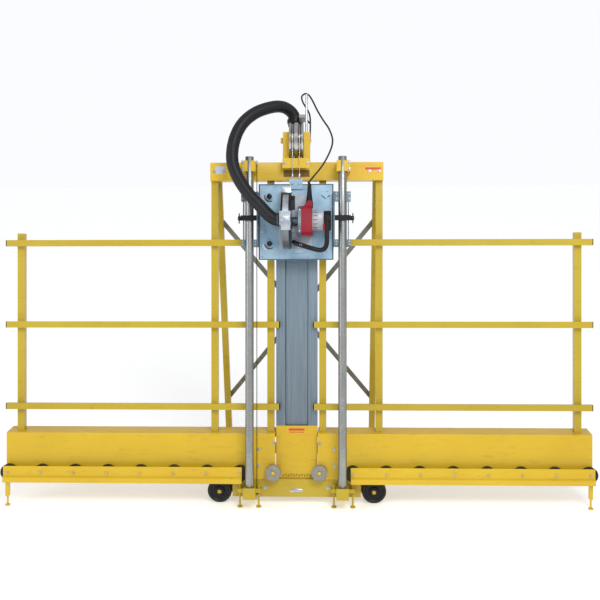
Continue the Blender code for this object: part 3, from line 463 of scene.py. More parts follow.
for shift in (-0.007, 0.0055):
    prong = box_shape((PLUG_X + shift, PLUG_X + shift + 0.0015), (plug_rear - 0.0655, plug_rear - 0.047),
                      (0.0131, 0.0189))
    plug_shapes.append((prong, bright_zinc))
plug = piece("mains_plug", plug_shapes, "frame", "plug", crease=30)

# ---- Yellow frame ----
# Welded square tube and folded sheet, sprayed with a glossy yellow enamel. The paint is a little
# uneven, duller where boards rub, with small rust-brown nicks. A darker copy of it is painted shade,
# for the parts that stand behind and below in shadow.
def enamel(name, deep, light):
    """The frame's yellow enamel, drifting between two tones over about half a metre."""
    made, tree, place = new_material(name)
    drift = add_node(tree, "TexNoise", {"Vector": place["Object"], "Scale": 2.6, "Detail": 4.0})
    paint = add_node(tree, "Mix", {0: drift.outputs["Fac"], 6: deep, 7: light}, data_type="RGBA")
    streaks = add_node(tree, "Mapping", {"Vector": place["Object"], "Scale": (14, 30, 60)})
    rubbed = add_node(tree, "TexNoise", {"Vector": streaks.outputs["Vector"], "Scale": 1.0, "Detail": 6.0})
    rub_share = add_node(tree, "MapRange", {"Value": rubbed.outputs["Fac"], "From Min": 0.56,
                                            "From Max": 0.74, "To Max": 0.22})
    dulled = add_node(tree, "Mix", {0: rub_share.outputs["Result"], 6: paint.outputs[2], 7: "#8F6F1C"},
                      data_type="RGBA")
    # Nicks: about one every 60 mm, 2 to 4 mm across, drawn only where a coarse noise is high.
    cells = add_node(tree, "TexVoronoi", {"Vector": place["Object"], "Scale": 17.0})
    zones = add_node(tree, "TexNoise", {"Vector": place["Object"], "Scale": 7.0, "Detail": 2.0})
    edge = add_node(tree, "MapRange", {"Value": zones.outputs["Fac"], "From Min": 0.5, "From Max": 0.7,
                                       "To Max": 0.075})
    nick = add_node(tree, "Math", {0: cells.outputs["Distance"], 1: edge.outputs["Result"]},
                    operation="LESS_THAN")
    nicked = add_node(tree, "Mix", {0: nick.outputs[0], 6: dulled.outputs[2], 7: "#6A4A22"},
                      data_type="RGBA")
    peel = add_node(tree, "TexNoise", {"Vector": place["Object"], "Scale": 260.0, "Detail": 2.0})
    relief = add_node(tree, "Bump", {"Height": peel.outputs["Fac"], "Strength": 0.12, "Distance": 0.0006})
    rough = add_node(tree, "MapRange", {"Value": rubbed.outputs["Fac"], "To Min": 0.26, "To Max": 0.56})
    show(tree, add_node(tree, "BsdfPrincipled", {
        "Base Color": nicked.outputs[2], "Roughness": rough.outputs["Result"], "IOR": 1.5,
        "Coat Weight": 0.25, "Coat Roughness": 0.15, "Normal": relief.outputs["Normal"]}))
    return made


yellow_enamel = enamel("yellow_enamel", "#C79E08", "#DDBB1C")
# The darker copy is painted shade, for the wall frames, rear legs and base frame in shadow.
shade_darkened_enamel = enamel("shade_darkened_yellow_enamel", "#A98F0C", "#C4AA22")


def eased(node, material, body, width=0.0012):
    """A copy of a frame node with its flats made whole and its edges rounded, in its own finish."""
    mesh = frame["nodes"][node].data.copy()
    edit = bmesh.new()
    edit.from_mesh(mesh)
    bmesh.ops.remove_doubles(edit, verts=edit.verts, dist=2e-5)
    bmesh.ops.dissolve_limit(edit, angle_limit=math.radians(1.0), verts=edit.verts, edges=edit.edges)
    edit.to_mesh(mesh)
    edit.free()
    mesh.materials.clear()
    mesh.materials.append(material)
    mesh.polygons.foreach_set("use_smooth", [True] * len(mesh.polygons))
    mesh.set_sharp_from_angle(angle=math.radians(35))
    made = bpy.data.objects.new(f"{node}_finished", mesh)
    scene.collection.objects.link(made)
    rounding = made.modifiers.new("rounding", "BEVEL")
    rounding.width, rounding.segments, rounding.limit_method = width, 2, "ANGLE"
    rounding.angle_limit = math.radians(35)
    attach(made, body)
    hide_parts(node)
    return made


# These parts stand in shadow and take the darker enamel, as painted shade.
SHADED_PARTS = ("left_wall_frame", "right_wall_frame", "rear_legs", "base_frame")
for name in ("base_frame", "left_apron", "right_apron", "left_front_angle", "right_front_angle",
             "left_wall_frame", "right_wall_frame", "top_beam", "centre_plate", "pulley_bracket",
             "rear_legs"):
    eased(name, shade_darkened_enamel if name in SHADED_PARTS else yellow_enamel, "frame")

# Weld beads along the rails' backs, where they cross the posts: a row of overlapping drops, in the
# darker enamel that paints the shade on the wall frames.
RAIL_HEIGHTS, RAIL, POST = (0.502, 0.925, 1.347), 0.032, 0.036
POST_XS = (0.1345, 0.425, 1.440)


def weld_bead(start, end):
    """A lumpy bead between two points in slope coordinates, tapered at both ends."""
    line = sloped(np.linspace(start, end, 40))
    share = np.linspace(0, 1, 40)
    lumps = 0.0021 + 0.0005 * np.cos(share * 2 * math.pi * 9)
    return tube(line, lumps * np.clip(np.minimum(share, 1 - share) * 12, 0.3, 1), 8)


for side_name, side in (("left", -1), ("right", 1)):
    beads = []
    for height in RAIL_HEIGHTS:
        for post_x in POST_XS:
            for edge_v in (height - RAIL / 2, height + RAIL / 2):
                ends = [(side * post_x + shift, edge_v, -RAIL)
                        for shift in (-POST / 2 + 0.002, POST / 2 - 0.002)]
                beads.append((weld_bead(*ends), shade_darkened_enamel))
    piece(f"{side_name}_rail_welds", beads, "frame")

# Square black caps pressed into the rails' open ends.
for side_name, side in (("left", -1), ("right", 1)):
    caps = []
    for height in RAIL_HEIGHTS:
        for end_x, away in ((0.0900, -1), (1.5050, 1)):
            x = sorted((side * end_x, side * (end_x + away * 0.0045)))
            half = RAIL / 2 + 0.0003
            caps.append((lean(box_shape(x, (height - half, height + half), (-RAIL - 0.0003, 0.0003))),
                         plastic_black))
    piece(f"{side_name}_rail_caps", caps, "frame", bevel=0.0014)


# ---- Fasteners on the frame ----
# Zinc plated hexagon bolts with washers, through the sheet metal, and two in the base beam.
def hex_bolt(place, across_flats, axis=None):
    """A washer, a hexagon head with a chamfered crown, standing on a face at place in slope
    coordinates, along an axis that is outwards unless given."""
    axis = OUTWARD if axis is None else axis
    radius = across_flats / math.sqrt(3)
    centre = sloped(place)
    washer = lathe([(0.3 * across_flats, 0), (0.80 * across_flats, 0), (0.82 * across_flats, 0.0004),
                    (0.82 * across_flats, 0.0012), (0.79 * across_flats, 0.0016),
                    (0.3 * across_flats, 0.0016)], centre, axis, 24)
    head = lathe([(radius, 0.0014), (radius, 0.0014 + 0.36 * across_flats),
                  (radius * 0.86, 0.0014 + 0.42 * across_flats),
                  (radius * 0.4, 0.0014 + 0.44 * across_flats)], centre, axis, 6)
    return [(washer, bright_zinc), (head, bright_zinc)]


FIRST_ROLLER_X, ROLLER_PITCH = 0.288, 0.1707
frame_bolts = []
for side in (-1, 1):
    for x, v in ((0.1180, 0.314), (0.193, 0.285), (0.256, 0.285), (0.196, 0.200)):
        frame_bolts += hex_bolt((side * x, v, 0.0), 0.010)
    frame_bolts += hex_bolt((side * 0.163, 0.088, -0.006), 0.013)
    for v in (1.7105, 1.7450):
        frame_bolts += hex_bolt((side * 0.268, v, 0.100), 0.010)
    for x in (0.375, 0.425):
        frame_bolts += hex_bolt((side * x, 1.7125, 0.0), 0.010)
    frame_bolts += hex_bolt((side * 0.058, 1.7475, 0.050), 0.010)
    for i in range(8):
        frame_bolts += hex_bolt((side * (FIRST_ROLLER_X + ROLLER_PITCH * i), 0.167, 0.058), 0.0065)
piece("frame_bolts", frame_bolts, "frame", crease=25)

# ---- Labels and the base plate ----
# Two amber labels with red bands and a small pale sticker, all without words, a dark panel in the
# top beam that is painted shade where the beam has a window, and a row of printed marks between
# the centre discs. A stainless oval plate is riveted to the base beam.
def rounded(width, height, radius, count=6):
    """The outline of a rectangle with round corners, as (first, second) points about its middle."""
    turns = np.linspace(0, math.pi / 2, count)
    corners = []
    for quarter, (sx, sy) in enumerate(((1, 1), (-1, 1), (-1, -1), (1, -1))):
        angle = turns + quarter * math.pi / 2
        corners.append(np.stack([sx * (width / 2 - radius) + radius * np.cos(angle),
                                 sy * (height / 2 - radius) + radius * np.sin(angle)], -1))
    return np.vstack(corners)


def printed(name, code, second, roughness):
    """A satin printed film, slightly mottled between two colours."""
    made, tree, place = new_material(name)
    speck = add_node(tree, "TexNoise", {"Vector": place["Object"], "Scale": 70.0, "Detail": 3.0})
    tone = add_node(tree, "Mix", {0: speck.outputs["Fac"], 6: code, 7: second}, data_type="RGBA")
    show(tree, add_node(tree, "BsdfPrincipled", {"Base Color": tone.outputs[2], "Roughness": roughness}))
    return made


amber_film = printed("amber_label_film", "#D79A1E", "#E2B034", 0.4)
red_film = printed("red_label_film", "#B23A1E", "#C65A2C", 0.4)
pale_film = printed("pale_label_film", "#C9CBD6", "#AEB4C6", 0.35)
# A dark mottled yellow-brown: print for the row of marks, and painted shade for the panel in the top beam.
shade_and_mark_paint = printed("painted_shade_and_mark_paint", "#3E2C08", "#8A6A18", 0.6)


def flat_plate(x, v, w, width, height, thick, radius, material):
    """A thin plate with round corners, standing on a face at w, about (x, v)."""
    outline = rounded(width, height, radius) + [x, v]
    return lean(prism_shape(outline, w, w + thick, "z")), material


labels = [flat_plate(-0.0005, 0.378, -0.034, 0.096, 0.034, 0.0006, 0.003, amber_film),
          flat_plate(-0.0005, 0.3825, -0.0334, 0.082, 0.011, 0.0003, 0.002, red_film),
          flat_plate(-0.0005, 0.3690, -0.0334, 0.078, 0.004, 0.0003, 0.001, red_film),
          flat_plate(0.392, 1.7205, 0.0, 0.098, 0.040, 0.0006, 0.003, amber_film),
          flat_plate(0.392, 1.7255, 0.0006, 0.080, 0.012, 0.0003, 0.002, red_film),
          flat_plate(-0.392, 1.7205, 0.0, 0.052, 0.040, 0.0006, 0.002, pale_film),
          # the dark panel in the top beam, painted shade
          flat_plate(0.0, 1.7020, 0.0, 0.134, 0.036, 0.0005, 0.002, shade_and_mark_paint)]
for i in range(11):
    labels.append(flat_plate(-0.070 + 0.014 * i, 0.146 + 0.004 * (i % 2), -0.034, 0.005, 0.009, 0.0004,
                             0.001, shade_and_mark_paint))
piece("frame_labels", labels, "frame")

oval_angle = np.linspace(0, 2 * math.pi, 48, endpoint=False)
oval_rows = []
for share, rise in ((1.0, 0.0), (1.0, 0.0012), (0.94, 0.0020), (0.90, 0.0017), (0.86, 0.0021),
                    (0.4, 0.0030), (0.05, 0.0032)):
    oval_rows.append(np.stack([0.036 * share * np.cos(oval_angle),
                               0.073 + 0.010 * share * np.sin(oval_angle), np.full(48, -0.0060 + rise)],
                              -1))
oval_plate = lean(grid_shape(np.stack(oval_rows)))
rivets = [lathe([(0.0026, 0.0), (0.0026, 0.0008), (0.0019, 0.0018), (0.0006, 0.0023)],
                sloped([x, 0.073, -0.0045]), OUTWARD, 16) for x in (-0.029, 0.029)]
piece("oval_plate", [(oval_plate, bright_zinc), *[(rivet, bright_zinc) for rivet in rivets]], "frame")

# ---- Guide tubes ----
# Two lengths of galvanised steel pipe that the carriage runs on, dull grey with polished runs where
# its bushes rub, and a dark stay rod beside the left one.
galvanised, tree, place = new_material("galvanised_pipe")
spangle = add_node(tree, "TexVoronoi", {"Vector": place["Object"], "Scale": 120.0})
cloud = add_node(tree, "TexNoise", {"Vector": place["Object"], "Scale": 9.0, "Detail": 4.0})
mixed = add_node(tree, "Math", {0: spangle.outputs["Distance"], 1: cloud.outputs["Fac"]},
                 operation="MULTIPLY")
tone = add_node(tree, "Mix", {0: mixed.outputs[0], 6: "#8F9290", 7: "#B9BCBA"}, data_type="RGBA")
stretched = add_node(tree, "Mapping", {"Vector": place["UV"], "Scale": (300, 5, 1)})
rubs = add_node(tree, "TexNoise", {"Vector": stretched.outputs["Vector"], "Scale": 1.0, "Detail": 3.0})
rough = add_node(tree, "MapRange", {"Value": rubs.outputs["Fac"], "From Min": 0.35, "From Max": 0.65,
                                    "To Min": 0.30, "To Max": 0.46})
relief = add_node(tree, "Bump", {"Height": rubs.outputs["Fac"], "Strength": 0.1, "Distance": 0.0002})
show(tree, add_node(tree, "BsdfPrincipled", {
    "Base Color": tone.outputs[2], "Metallic": 1.0, "Roughness": rough.outputs["Result"],
    "Normal": relief.outputs["Normal"]}))

TUBE_X, TUBE_W, TUBE_R, TUBE_LOW, TUBE_HIGH = 0.235, 0.080, 0.0212, 0.062, 1.776
for side_name, side in (("left", -1), ("right", 1)):
    inner, soft = TUBE_R - 0.003, 0.0006
    rows = np.linspace(TUBE_LOW + soft, TUBE_HIGH - soft, 8)
    profile = [(inner + soft, TUBE_HIGH), (inner, TUBE_HIGH - soft),
               *[(inner, v) for v in rows[::-1][1:-1]], (inner, TUBE_LOW + soft), (inner + soft, TUBE_LOW),
               (TUBE_R - soft, TUBE_LOW), *[(TUBE_R, v) for v in rows], (TUBE_R - soft, TUBE_HIGH)]
    skin = lathe(profile, sloped([side * TUBE_X, 0, TUBE_W]), UP_SLOPE, 64, looped=True)
    piece(f"{side_name}_pipe", [(skin, galvanised)], "frame", f"{side_name}_guide_tube",
          crease=50)

stay_line = sloped(np.linspace([-0.2015, 0.034, 0.0300], [-0.2015, 1.765, 0.0300], 60))
stay_shapes = [(tube(stay_line, 0.0019, 12), plastic_black)]
for v in (0.050, 1.752):
    stay_shapes.append((lathe([(0.0048, -0.009), (0.0052, -0.008), (0.0052, 0.008), (0.0048, 0.009)],
                              sloped([-0.2015, v, 0.030]), UP_SLOPE, 6), bright_zinc))
stay_shapes.append((lean(box_shape((-0.2045, -0.1985), (1.745, 1.757), (-0.001, 0.032))), yellow_enamel))
stay_shapes.append((lean(box_shape((-0.2045, -0.1985), (0.044, 0.056), (-0.007, 0.032))), yellow_enamel))
piece("stay_rod", stay_shapes, "frame", bevel=0.0005)

# ---- Rear of the frame ----
# Galvanised flat bars cross behind the legs, riveted at the middle. A folded, blue-grey zinc plated
# channel stands in the middle, and a painted steel dust pipe is strapped behind it.
def clouded_metal(name, deep, light, scale, metallic, gloss):
    """A metal that drifts between two tones in clouds, and rougher where it is lighter."""
    made, tree, place = new_material(name)
    cloud = add_node(tree, "TexNoise", {"Vector": place["Object"], "Scale": scale, "Detail": 6.0})
    tone = add_node(tree, "Mix", {0: cloud.outputs["Fac"], 6: deep, 7: light}, data_type="RGBA")
    rough = add_node(tree, "MapRange", {"Value": cloud.outputs["Fac"], "To Min": gloss[0],
                                        "To Max": gloss[1]})
    show(tree, add_node(tree, "BsdfPrincipled", {
        "Base Color": tone.outputs[2], "Metallic": metallic, "Roughness": rough.outputs["Result"]}))
    return made


weathered_zinc = clouded_metal("weathered_zinc_bar", "#6E6D66", "#A2A29A", 30.0, 0.85, (0.4, 0.7))
eased("cross_braces", weathered_zinc, "frame", 0.0006)

blue_channel, tree, place = new_material("blue_grey_channel")
height = add_node(tree, "SeparateXYZ", {"Vector": place["Object"]})
up = add_node(tree, "MapRange", {"Value": height.outputs["Z"], "From Min": 0.4, "From Max": 1.5})
# The channel's tone darkens towards the bottom: painted shade low down, lighter higher up.
height_shaded_tone = add_node(tree, "Mix", {0: up.outputs["Result"], 6: "#565D62", 7: "#6F8796"}, data_type="RGBA")
lengths = add_node(tree, "Mapping", {"Vector": place["Object"], "Scale": (260, 4, 4)})
brushed = add_node(tree, "TexNoise", {"Vector": lengths.outputs["Vector"], "Scale": 1.0, "Detail": 3.0})
tone = add_node(tree, "Mix", {0: brushed.outputs["Fac"], 6: height_shaded_tone.outputs[2], 7: "#93A3AE"},
                data_type="RGBA", clamp_factor=True)
rough = add_node(tree, "MapRange", {"Value": brushed.outputs["Fac"], "To Min": 0.34, "To Max": 0.52})
show(tree, add_node(tree, "BsdfPrincipled", {
    "Base Color": tone.outputs[2], "Metallic": 0.75, "Roughness": rough.outputs["Result"]}))
eased("channel", blue_channel, "frame", 0.0008)

grey_hammer, tree, place = new_material("dark_grey_enamel")
dimples = add_node(tree, "TexVoronoi", {"Vector": place["Object"], "Scale": 180.0})
tone = add_node(tree, "Mix", {0: dimples.outputs["Distance"], 6: "#3A3C40", 7: "#55585E"}, data_type="RGBA")
relief = add_node(tree, "Bump", {"Height": dimples.outputs["Distance"], "Strength": 0.3,
                                 "Distance": 0.0006})
show(tree, add_node(tree, "BsdfPrincipled", {
    "Base Color": tone.outputs[2], "Roughness": 0.42, "IOR": 1.5, "Normal": relief.outputs["Normal"]}))
eased("counterweight", grey_hammer, "counterweight", 0.004)

PIPE_LOW, PIPE_R = 0.330, 0.036
pipe_skin = lathe([(PIPE_R - 0.003, PIPE_TOP), (PIPE_R - 0.003, PIPE_LOW), (PIPE_R, PIPE_LOW),
                   (PIPE_R, PIPE_LOW + 0.5), (PIPE_R, PIPE_TOP)], sloped([PIPE_X, 0, PIPE_W]), UP_SLOPE, 56,
                  looped=True)
pipe_shapes = [(pipe_skin, grey_hammer)]
for v in (0.500, 1.450):
    strap = lathe([(PIPE_R, v - 0.012), (PIPE_R + 0.0012, v - 0.011), (PIPE_R + 0.0012, v + 0.011),
                   (PIPE_R, v + 0.012)], sloped([PIPE_X, 0, PIPE_W]), UP_SLOPE, 56, looped=True)
    pipe_shapes.append((strap, weathered_zinc))
    pipe_shapes.append((lean(box_shape((-0.1065, 0.1065), (v - 0.012, v + 0.012), (-0.1480, -0.1403))),
                        weathered_zinc))
    for x in (-0.096, 0.096):
        pipe_shapes += hex_bolt((x, v, -0.1480), 0.008, -OUTWARD)
piece("dust_pipe_skin", pipe_shapes, "frame", "dust_pipe", crease=40)

# ---- Wheels ----
# Solid black rubber tyres on moulded black hubs, which turn on the axles welded to the base.
tyre_rubber, tree, place = new_material("tyre_rubber")
scuff = add_node(tree, "TexNoise", {"Vector": place["Object"], "Scale": 40.0, "Detail": 6.0})
tone = add_node(tree, "Mix", {0: scuff.outputs["Fac"], 6: "#0B0A08", 7: "#24211C"}, data_type="RGBA")
relief = add_node(tree, "Bump", {"Height": scuff.outputs["Fac"], "Strength": 0.25, "Distance": 0.0008})
show(tree, add_node(tree, "BsdfPrincipled", {
    "Base Color": tone.outputs[2], "Roughness": 0.68, "IOR": 1.52, "Normal": relief.outputs["Normal"]}))

WHEEL_R = 0.0625
for end in ("front", "rear"):
    for side_name in ("left", "right"):
        node = f"{end}_{side_name}_wheel"
        low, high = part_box(node)
        centre = (low + high) / 2
        tread = [(0.0500, 0.0125), (0.0545, 0.0152), (0.0585, 0.0146), (0.0612, 0.0122), (WHEEL_R, 0.0085),
                 (WHEEL_R, -0.0085), (0.0612, -0.0122), (0.0585, -0.0146), (0.0545, -0.0152),
                 (0.0500, -0.0125)]
        hub = [(0.0068, 0.0158), (0.0225, 0.0158), (0.0245, 0.0145), (0.0268, 0.0098), (0.0300, 0.0085),
               (0.0440, 0.0085), (0.0470, 0.0100), (0.0502, 0.0130), (0.0502, -0.0130), (0.0470, -0.0100),
               (0.0440, -0.0085), (0.0300, -0.0085), (0.0268, -0.0098), (0.0245, -0.0140),
               (0.0225, -0.0152), (0.0068, -0.0152)]
        front_side = (0, -1, 0)
        shapes = [(lathe(tread, centre, front_side, 72, looped=True), tyre_rubber),
                  (lathe(hub, centre, front_side, 72, looped=True), plastic_black)]
        piece(f"{node}_finished", shapes, node, node, crease=40)

# ---- Bed rollers and centre discs ----
# The rollers are black rubber with a rounded rim and a narrow groove; the discs are grey nylon with
# a turned face and a countersunk middle.
for side_name, side in (("left", -1), ("right", 1)):
    for number in range(1, 9):
        node = f"{side_name}_roller_{number}"
        low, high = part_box(node)
        centre = (low + high) / 2
        rim = [(0.0068, 0.0190), (0.0250, 0.0190), (0.0260, 0.0180), (0.0350, 0.0180), (0.0360, 0.0188),
               (0.0385, 0.0188), (0.0400, 0.0172), (0.0405, 0.0150), (0.0405, 0.0015), (0.0395, 0.0008),
               (0.0395, -0.0008), (0.0405, -0.0015), (0.0405, -0.0150), (0.0400, -0.0172),
               (0.0385, -0.0190), (0.0068, -0.0190)]
        piece(f"{node}_finished", [(lathe(rim, centre, OUTWARD, 56, looped=True), tyre_rubber)], node,
              node, crease=40)

turned_nylon, tree, place = new_material("turned_grey_nylon")
speck = add_node(tree, "TexNoise", {"Vector": place["Object"], "Scale": 55.0, "Detail": 5.0})
tone = add_node(tree, "Mix", {0: speck.outputs["Fac"], 6: "#77746B", 7: "#989488"}, data_type="RGBA")
cuts = add_node(tree, "Mapping", {"Vector": place["UV"], "Scale": (1, 1600, 1)})
lathe_marks = add_node(tree, "TexNoise", {"Vector": cuts.outputs["Vector"], "Scale": 1.0})
relief = add_node(tree, "Bump", {"Height": lathe_marks.outputs["Fac"], "Strength": 0.3, "Distance": 0.0003})
show(tree, add_node(tree, "BsdfPrincipled", {
    "Base Color": tone.outputs[2], "Roughness": 0.46, "IOR": 1.53, "Normal": relief.outputs["Normal"]}))
for side_name in ("left", "right"):
    node = f"{side_name}_centre_disc"
    low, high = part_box(node)
    centre = (low + high) / 2
    face = [(0.0068, 0.0175), (0.0110, 0.0190), (0.0290, 0.0190), (0.0300, 0.0183), (0.0310, 0.0190),
            (0.0385, 0.0190), (0.0400, 0.0175), (0.0400, -0.0175), (0.0385, -0.0190), (0.0068, -0.0190)]
    piece(f"{node}_finished", [(lathe(face, centre, OUTWARD, 72, looped=True), turned_nylon)], node,
          node, crease=40)

# ---- Pulley, cables and mast ----
# A polished steel pulley with two round grooves carries two wire ropes from the carriage to the
# counterweight. The mast is a thin bright tube with a hook on top and a strapped ring for the hose.
polished, tree, place = new_material("polished_steel")
rings = add_node(tree, "Mapping", {"Vector": place["UV"], "Scale": (3, 1500, 1)})
turning = add_node(tree, "TexNoise", {"Vector": rings.outputs["Vector"], "Scale": 1.0, "Detail": 2.0})
smear = add_node(tree, "TexNoise", {"Vector": place["Object"], "Scale": 20.0, "Detail": 4.0})
tone = add_node(tree, "Mix", {0: smear.outputs["Fac"], 6: "#8E8C88", 7: "#D8D8D6"}, data_type="RGBA")
rough = add_node(tree, "MapRange", {"Value": turning.outputs["Fac"], "To Min": 0.12, "To Max": 0.28})
show(tree, add_node(tree, "BsdfPrincipled", {
    "Base Color": tone.outputs[2], "Metallic": 1.0, "Roughness": rough.outputs["Result"]}))

PULLEY_V, PULLEY_W, PULLEY_R, PULLEY_HALF = 1.873, -0.0185, 0.0925, 0.036
ROPE_TURN, ROPE_R, ROPE_X = 0.085, 0.002, 0.018
groove_turn = np.linspace(0, math.pi, 15)
sheave = [(0.0090, -PULLEY_HALF), (0.0250, -PULLEY_HALF), (0.0270, -PULLEY_HALF + 0.003),
          (0.0700, -PULLEY_HALF + 0.003), (0.0720, -PULLEY_HALF), (PULLEY_R - 0.001, -PULLEY_HALF),
          (PULLEY_R, -PULLEY_HALF + 0.001)]
for middle in (-ROPE_X, ROPE_X):
    depth = PULLEY_R - ROPE_TURN + ROPE_R + 0.0006
    sheave += [(PULLEY_R - depth * math.sin(t) ** 0.8, middle - 0.0088 * math.cos(t)) for t in groove_turn]
sheave += [(PULLEY_R, PULLEY_HALF - 0.001), (PULLEY_R - 0.001, PULLEY_HALF), (0.0720, PULLEY_HALF),
           (0.0700, PULLEY_HALF - 0.003), (0.0270, PULLEY_HALF - 0.003), (0.0250, PULLEY_HALF),
           (0.0090, PULLEY_HALF)]
pulley_centre = sloped([0, PULLEY_V, PULLEY_W])
piece("pulley_finished", [(lathe(sheave, pulley_centre, (1, 0, 0), 96, looped=True), polished)], "pulley",
      "pulley", crease=40)


def rope(line):
    """A six-strand wire rope along a line: its radius rises and falls six times round, and the
    pattern makes one turn every 26 mm, coarser than real so that it shows."""
    lay = 0.026

    def strands(run, angle):
        return ROPE_R * (0.86 + 0.14 * np.abs(np.cos(3 * (angle - 2 * math.pi * run / lay))))

    return tube(line, strands, 24)


front_w, rear_w = PULLEY_W + ROPE_TURN, PULLEY_W - ROPE_TURN
over_angle = np.linspace(0, math.pi, 110)
ropes = {"front": [], "over": [], "rear": []}
for x in (-ROPE_X, ROPE_X):
    front_run = np.linspace([x, 1.612, front_w - 0.0005], [x, PULLEY_V, front_w - 0.0005], 90)
    over_run = np.stack([np.full(110, x), PULLEY_V + ROPE_TURN * np.sin(over_angle),
                         PULLEY_W + ROPE_TURN * np.cos(over_angle)], -1)
    rear_run = np.linspace([x, PULLEY_V, rear_w], [x, 0.503, rear_w], 460)
    for name, run in (("front", front_run), ("over", over_run), ("rear", rear_run)):
        ropes[name].append((rope(sloped(run)), polished))
front_ropes = piece("wire_ropes_front", ropes["front"],
                    replaces="counterweight_cables")
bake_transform(front_ropes)
piece("wire_ropes_over_pulley", ropes["over"], "frame", "counterweight_cables")
rear_ropes = piece("wire_ropes_rear", ropes["rear"], replaces="counterweight_cables")
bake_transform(rear_ropes)
yoke = [(lean(box_shape((-0.024, 0.024), (0.4985, 0.508), (-0.1085, -0.0985))), bright_zinc)]
for x in (-ROPE_X, ROPE_X):
    yoke.append((lathe([(0.0036, 0.508), (0.0042, 0.510), (0.0042, 0.530), (0.0032, 0.532)],
                       sloped([x, 0, rear_w]), UP_SLOPE, 20), bright_zinc))
piece("rope_yoke", yoke, "counterweight", bevel=0.0008)

MAST_X, MAST_W, MAST_FOOT, MAST_TOP = 0.0515, -0.020, 1.9143, 2.112
RING_X, RING_W, ARM_V = -0.015, -0.172, 2.000
mast_skin = lathe([(0.0060, MAST_FOOT), (0.0065, MAST_FOOT + 0.0005), (0.0065, 2.0),
                   (0.0065, MAST_TOP - 0.002), (0.0045, MAST_TOP)], sloped([MAST_X, 0, MAST_W]), UP_SLOPE,
                  32)
hook_line = sloped([[MAST_X, MAST_TOP - 0.012, MAST_W - 0.003 * i] for i in range(10)]
                   + [[MAST_X, MAST_TOP - 0.0105, MAST_W - 0.0290]])
ring_skin = lathe([(HOSE_R + 0.006, ARM_V - 0.0100), (HOSE_R + 0.0085, ARM_V - 0.0100),
                   (HOSE_R + 0.0090, ARM_V - 0.0092), (HOSE_R + 0.0090, ARM_V + 0.0092),
                   (HOSE_R + 0.0085, ARM_V + 0.0100), (HOSE_R + 0.006, ARM_V + 0.0100)],
                  sloped([RING_X, 0, RING_W]), UP_SLOPE, 56, looped=True)
arm_shape = lean(box_shape((0.012, MAST_X + 0.004), (ARM_V - 0.008, ARM_V + 0.008),
                           (-0.150, MAST_W + 0.002)))
cuff = lathe([(HOSE_R - 0.002, ARM_V - 0.028), (HOSE_R + 0.0058, ARM_V - 0.026),
              (HOSE_R + 0.0058, ARM_V + 0.026), (HOSE_R - 0.002, ARM_V + 0.028)],
             sloped([RING_X + 0.002, 0, RING_W]), UP_SLOPE, 56, looped=True)
piece("cord_mast_finished", [(mast_skin, bright_zinc), (tube(hook_line, 0.0040, 20), bright_zinc),
                             (arm_shape, weathered_zinc), (ring_skin, plastic_black)],
      "frame", "cord_mast", bevel=0.0006)
piece("hose_cuff_at_ring", [(cuff, plastic_black)], "frame")

# A black webbing strap hangs from the arm and steadies the hose.
strap_line = sloped(along_curve([(0.006, 2.012, -0.128), (0.016, 2.020, -0.118), (0.034, 2.014, -0.090),
                                 (0.049, 1.996, -0.060), (0.058, 1.978, -0.044), (0.066, 1.966, -0.038)],
                                0.003))
piece("hose_strap", [(tube(strap_line, 0.0045, 12), plastic_black)], "frame")

# ---- Carriage ----
# A zinc plated steel plate with a round hole, on cradle brackets that run on the guide tubes. Two
# black wing screws lock it to the tubes and two plungers hold the turntable.
blue_zinc, tree, place = new_material("blue_zinc_sheet")
cloud = add_node(tree, "TexNoise", {"Vector": place["Object"], "Scale": 11.0, "Detail": 6.0})
tone = add_node(tree, "Mix", {0: cloud.outputs["Fac"], 6: "#57809F", 7: "#BCD7E6"}, data_type="RGBA")
wiped = add_node(tree, "Mapping", {"Vector": place["Object"], "Scale": (25, 90, 90)})
wipes = add_node(tree, "TexNoise", {"Vector": wiped.outputs["Vector"], "Scale": 1.0, "Detail": 4.0})
rough = add_node(tree, "MapRange", {"Value": wipes.outputs["Fac"], "To Min": 0.26, "To Max": 0.5})
show(tree, add_node(tree, "BsdfPrincipled", {
    "Base Color": tone.outputs[2], "Metallic": 0.6, "Roughness": rough.outputs["Result"]}))

# A dark zinc for the clip band and the marks on the plate, also used as painted shade in the strips along
# the carriage plate's edges.
dark_zinc_and_shade, tree, place = new_material("dark_zinc_and_painted_shade")
cloud = add_node(tree, "TexNoise", {"Vector": place["Object"], "Scale": 35.0, "Detail": 5.0})
tone = add_node(tree, "Mix", {0: cloud.outputs["Fac"], 6: "#2B3440", 7: "#55616C"}, data_type="RGBA")
show(tree, add_node(tree, "BsdfPrincipled", {
    "Base Color": tone.outputs[2], "Metallic": 0.5, "Roughness": 0.42}))

bracket_zinc = clouded_metal("bracket_zinc", "#36444C", "#8496A0", 28.0, 0.7, (0.3, 0.5))

LOCK_V, PLUNGER_X = 1.4645, -0.134
eased("carriage_plate", blue_zinc, "carriage", 0.0012)
# Raised strips round the plate's edges: a folded rim in the dark zinc, which paints the shade line along
# the edges.
rim_shade_strips = [lean(box_shape(x, v, (PLATE_W - 0.0002, PLATE_W + 0.0012)))
              for x, v in (((-0.1888, -0.1835), (1.2562, 1.6388)), ((0.1835, 0.1888), (1.2562, 1.6388)),
                           ((-0.1833, 0.1833), (1.2562, 1.2600)), ((-0.1833, -0.0340), (1.6345, 1.6388)),
                           ((0.0340, 0.1833), (1.6345, 1.6388)))]
piece("carriage_rim_shade_line", [(strip, dark_zinc_and_shade) for strip in rim_shade_strips], "carriage", bevel=0.0004)

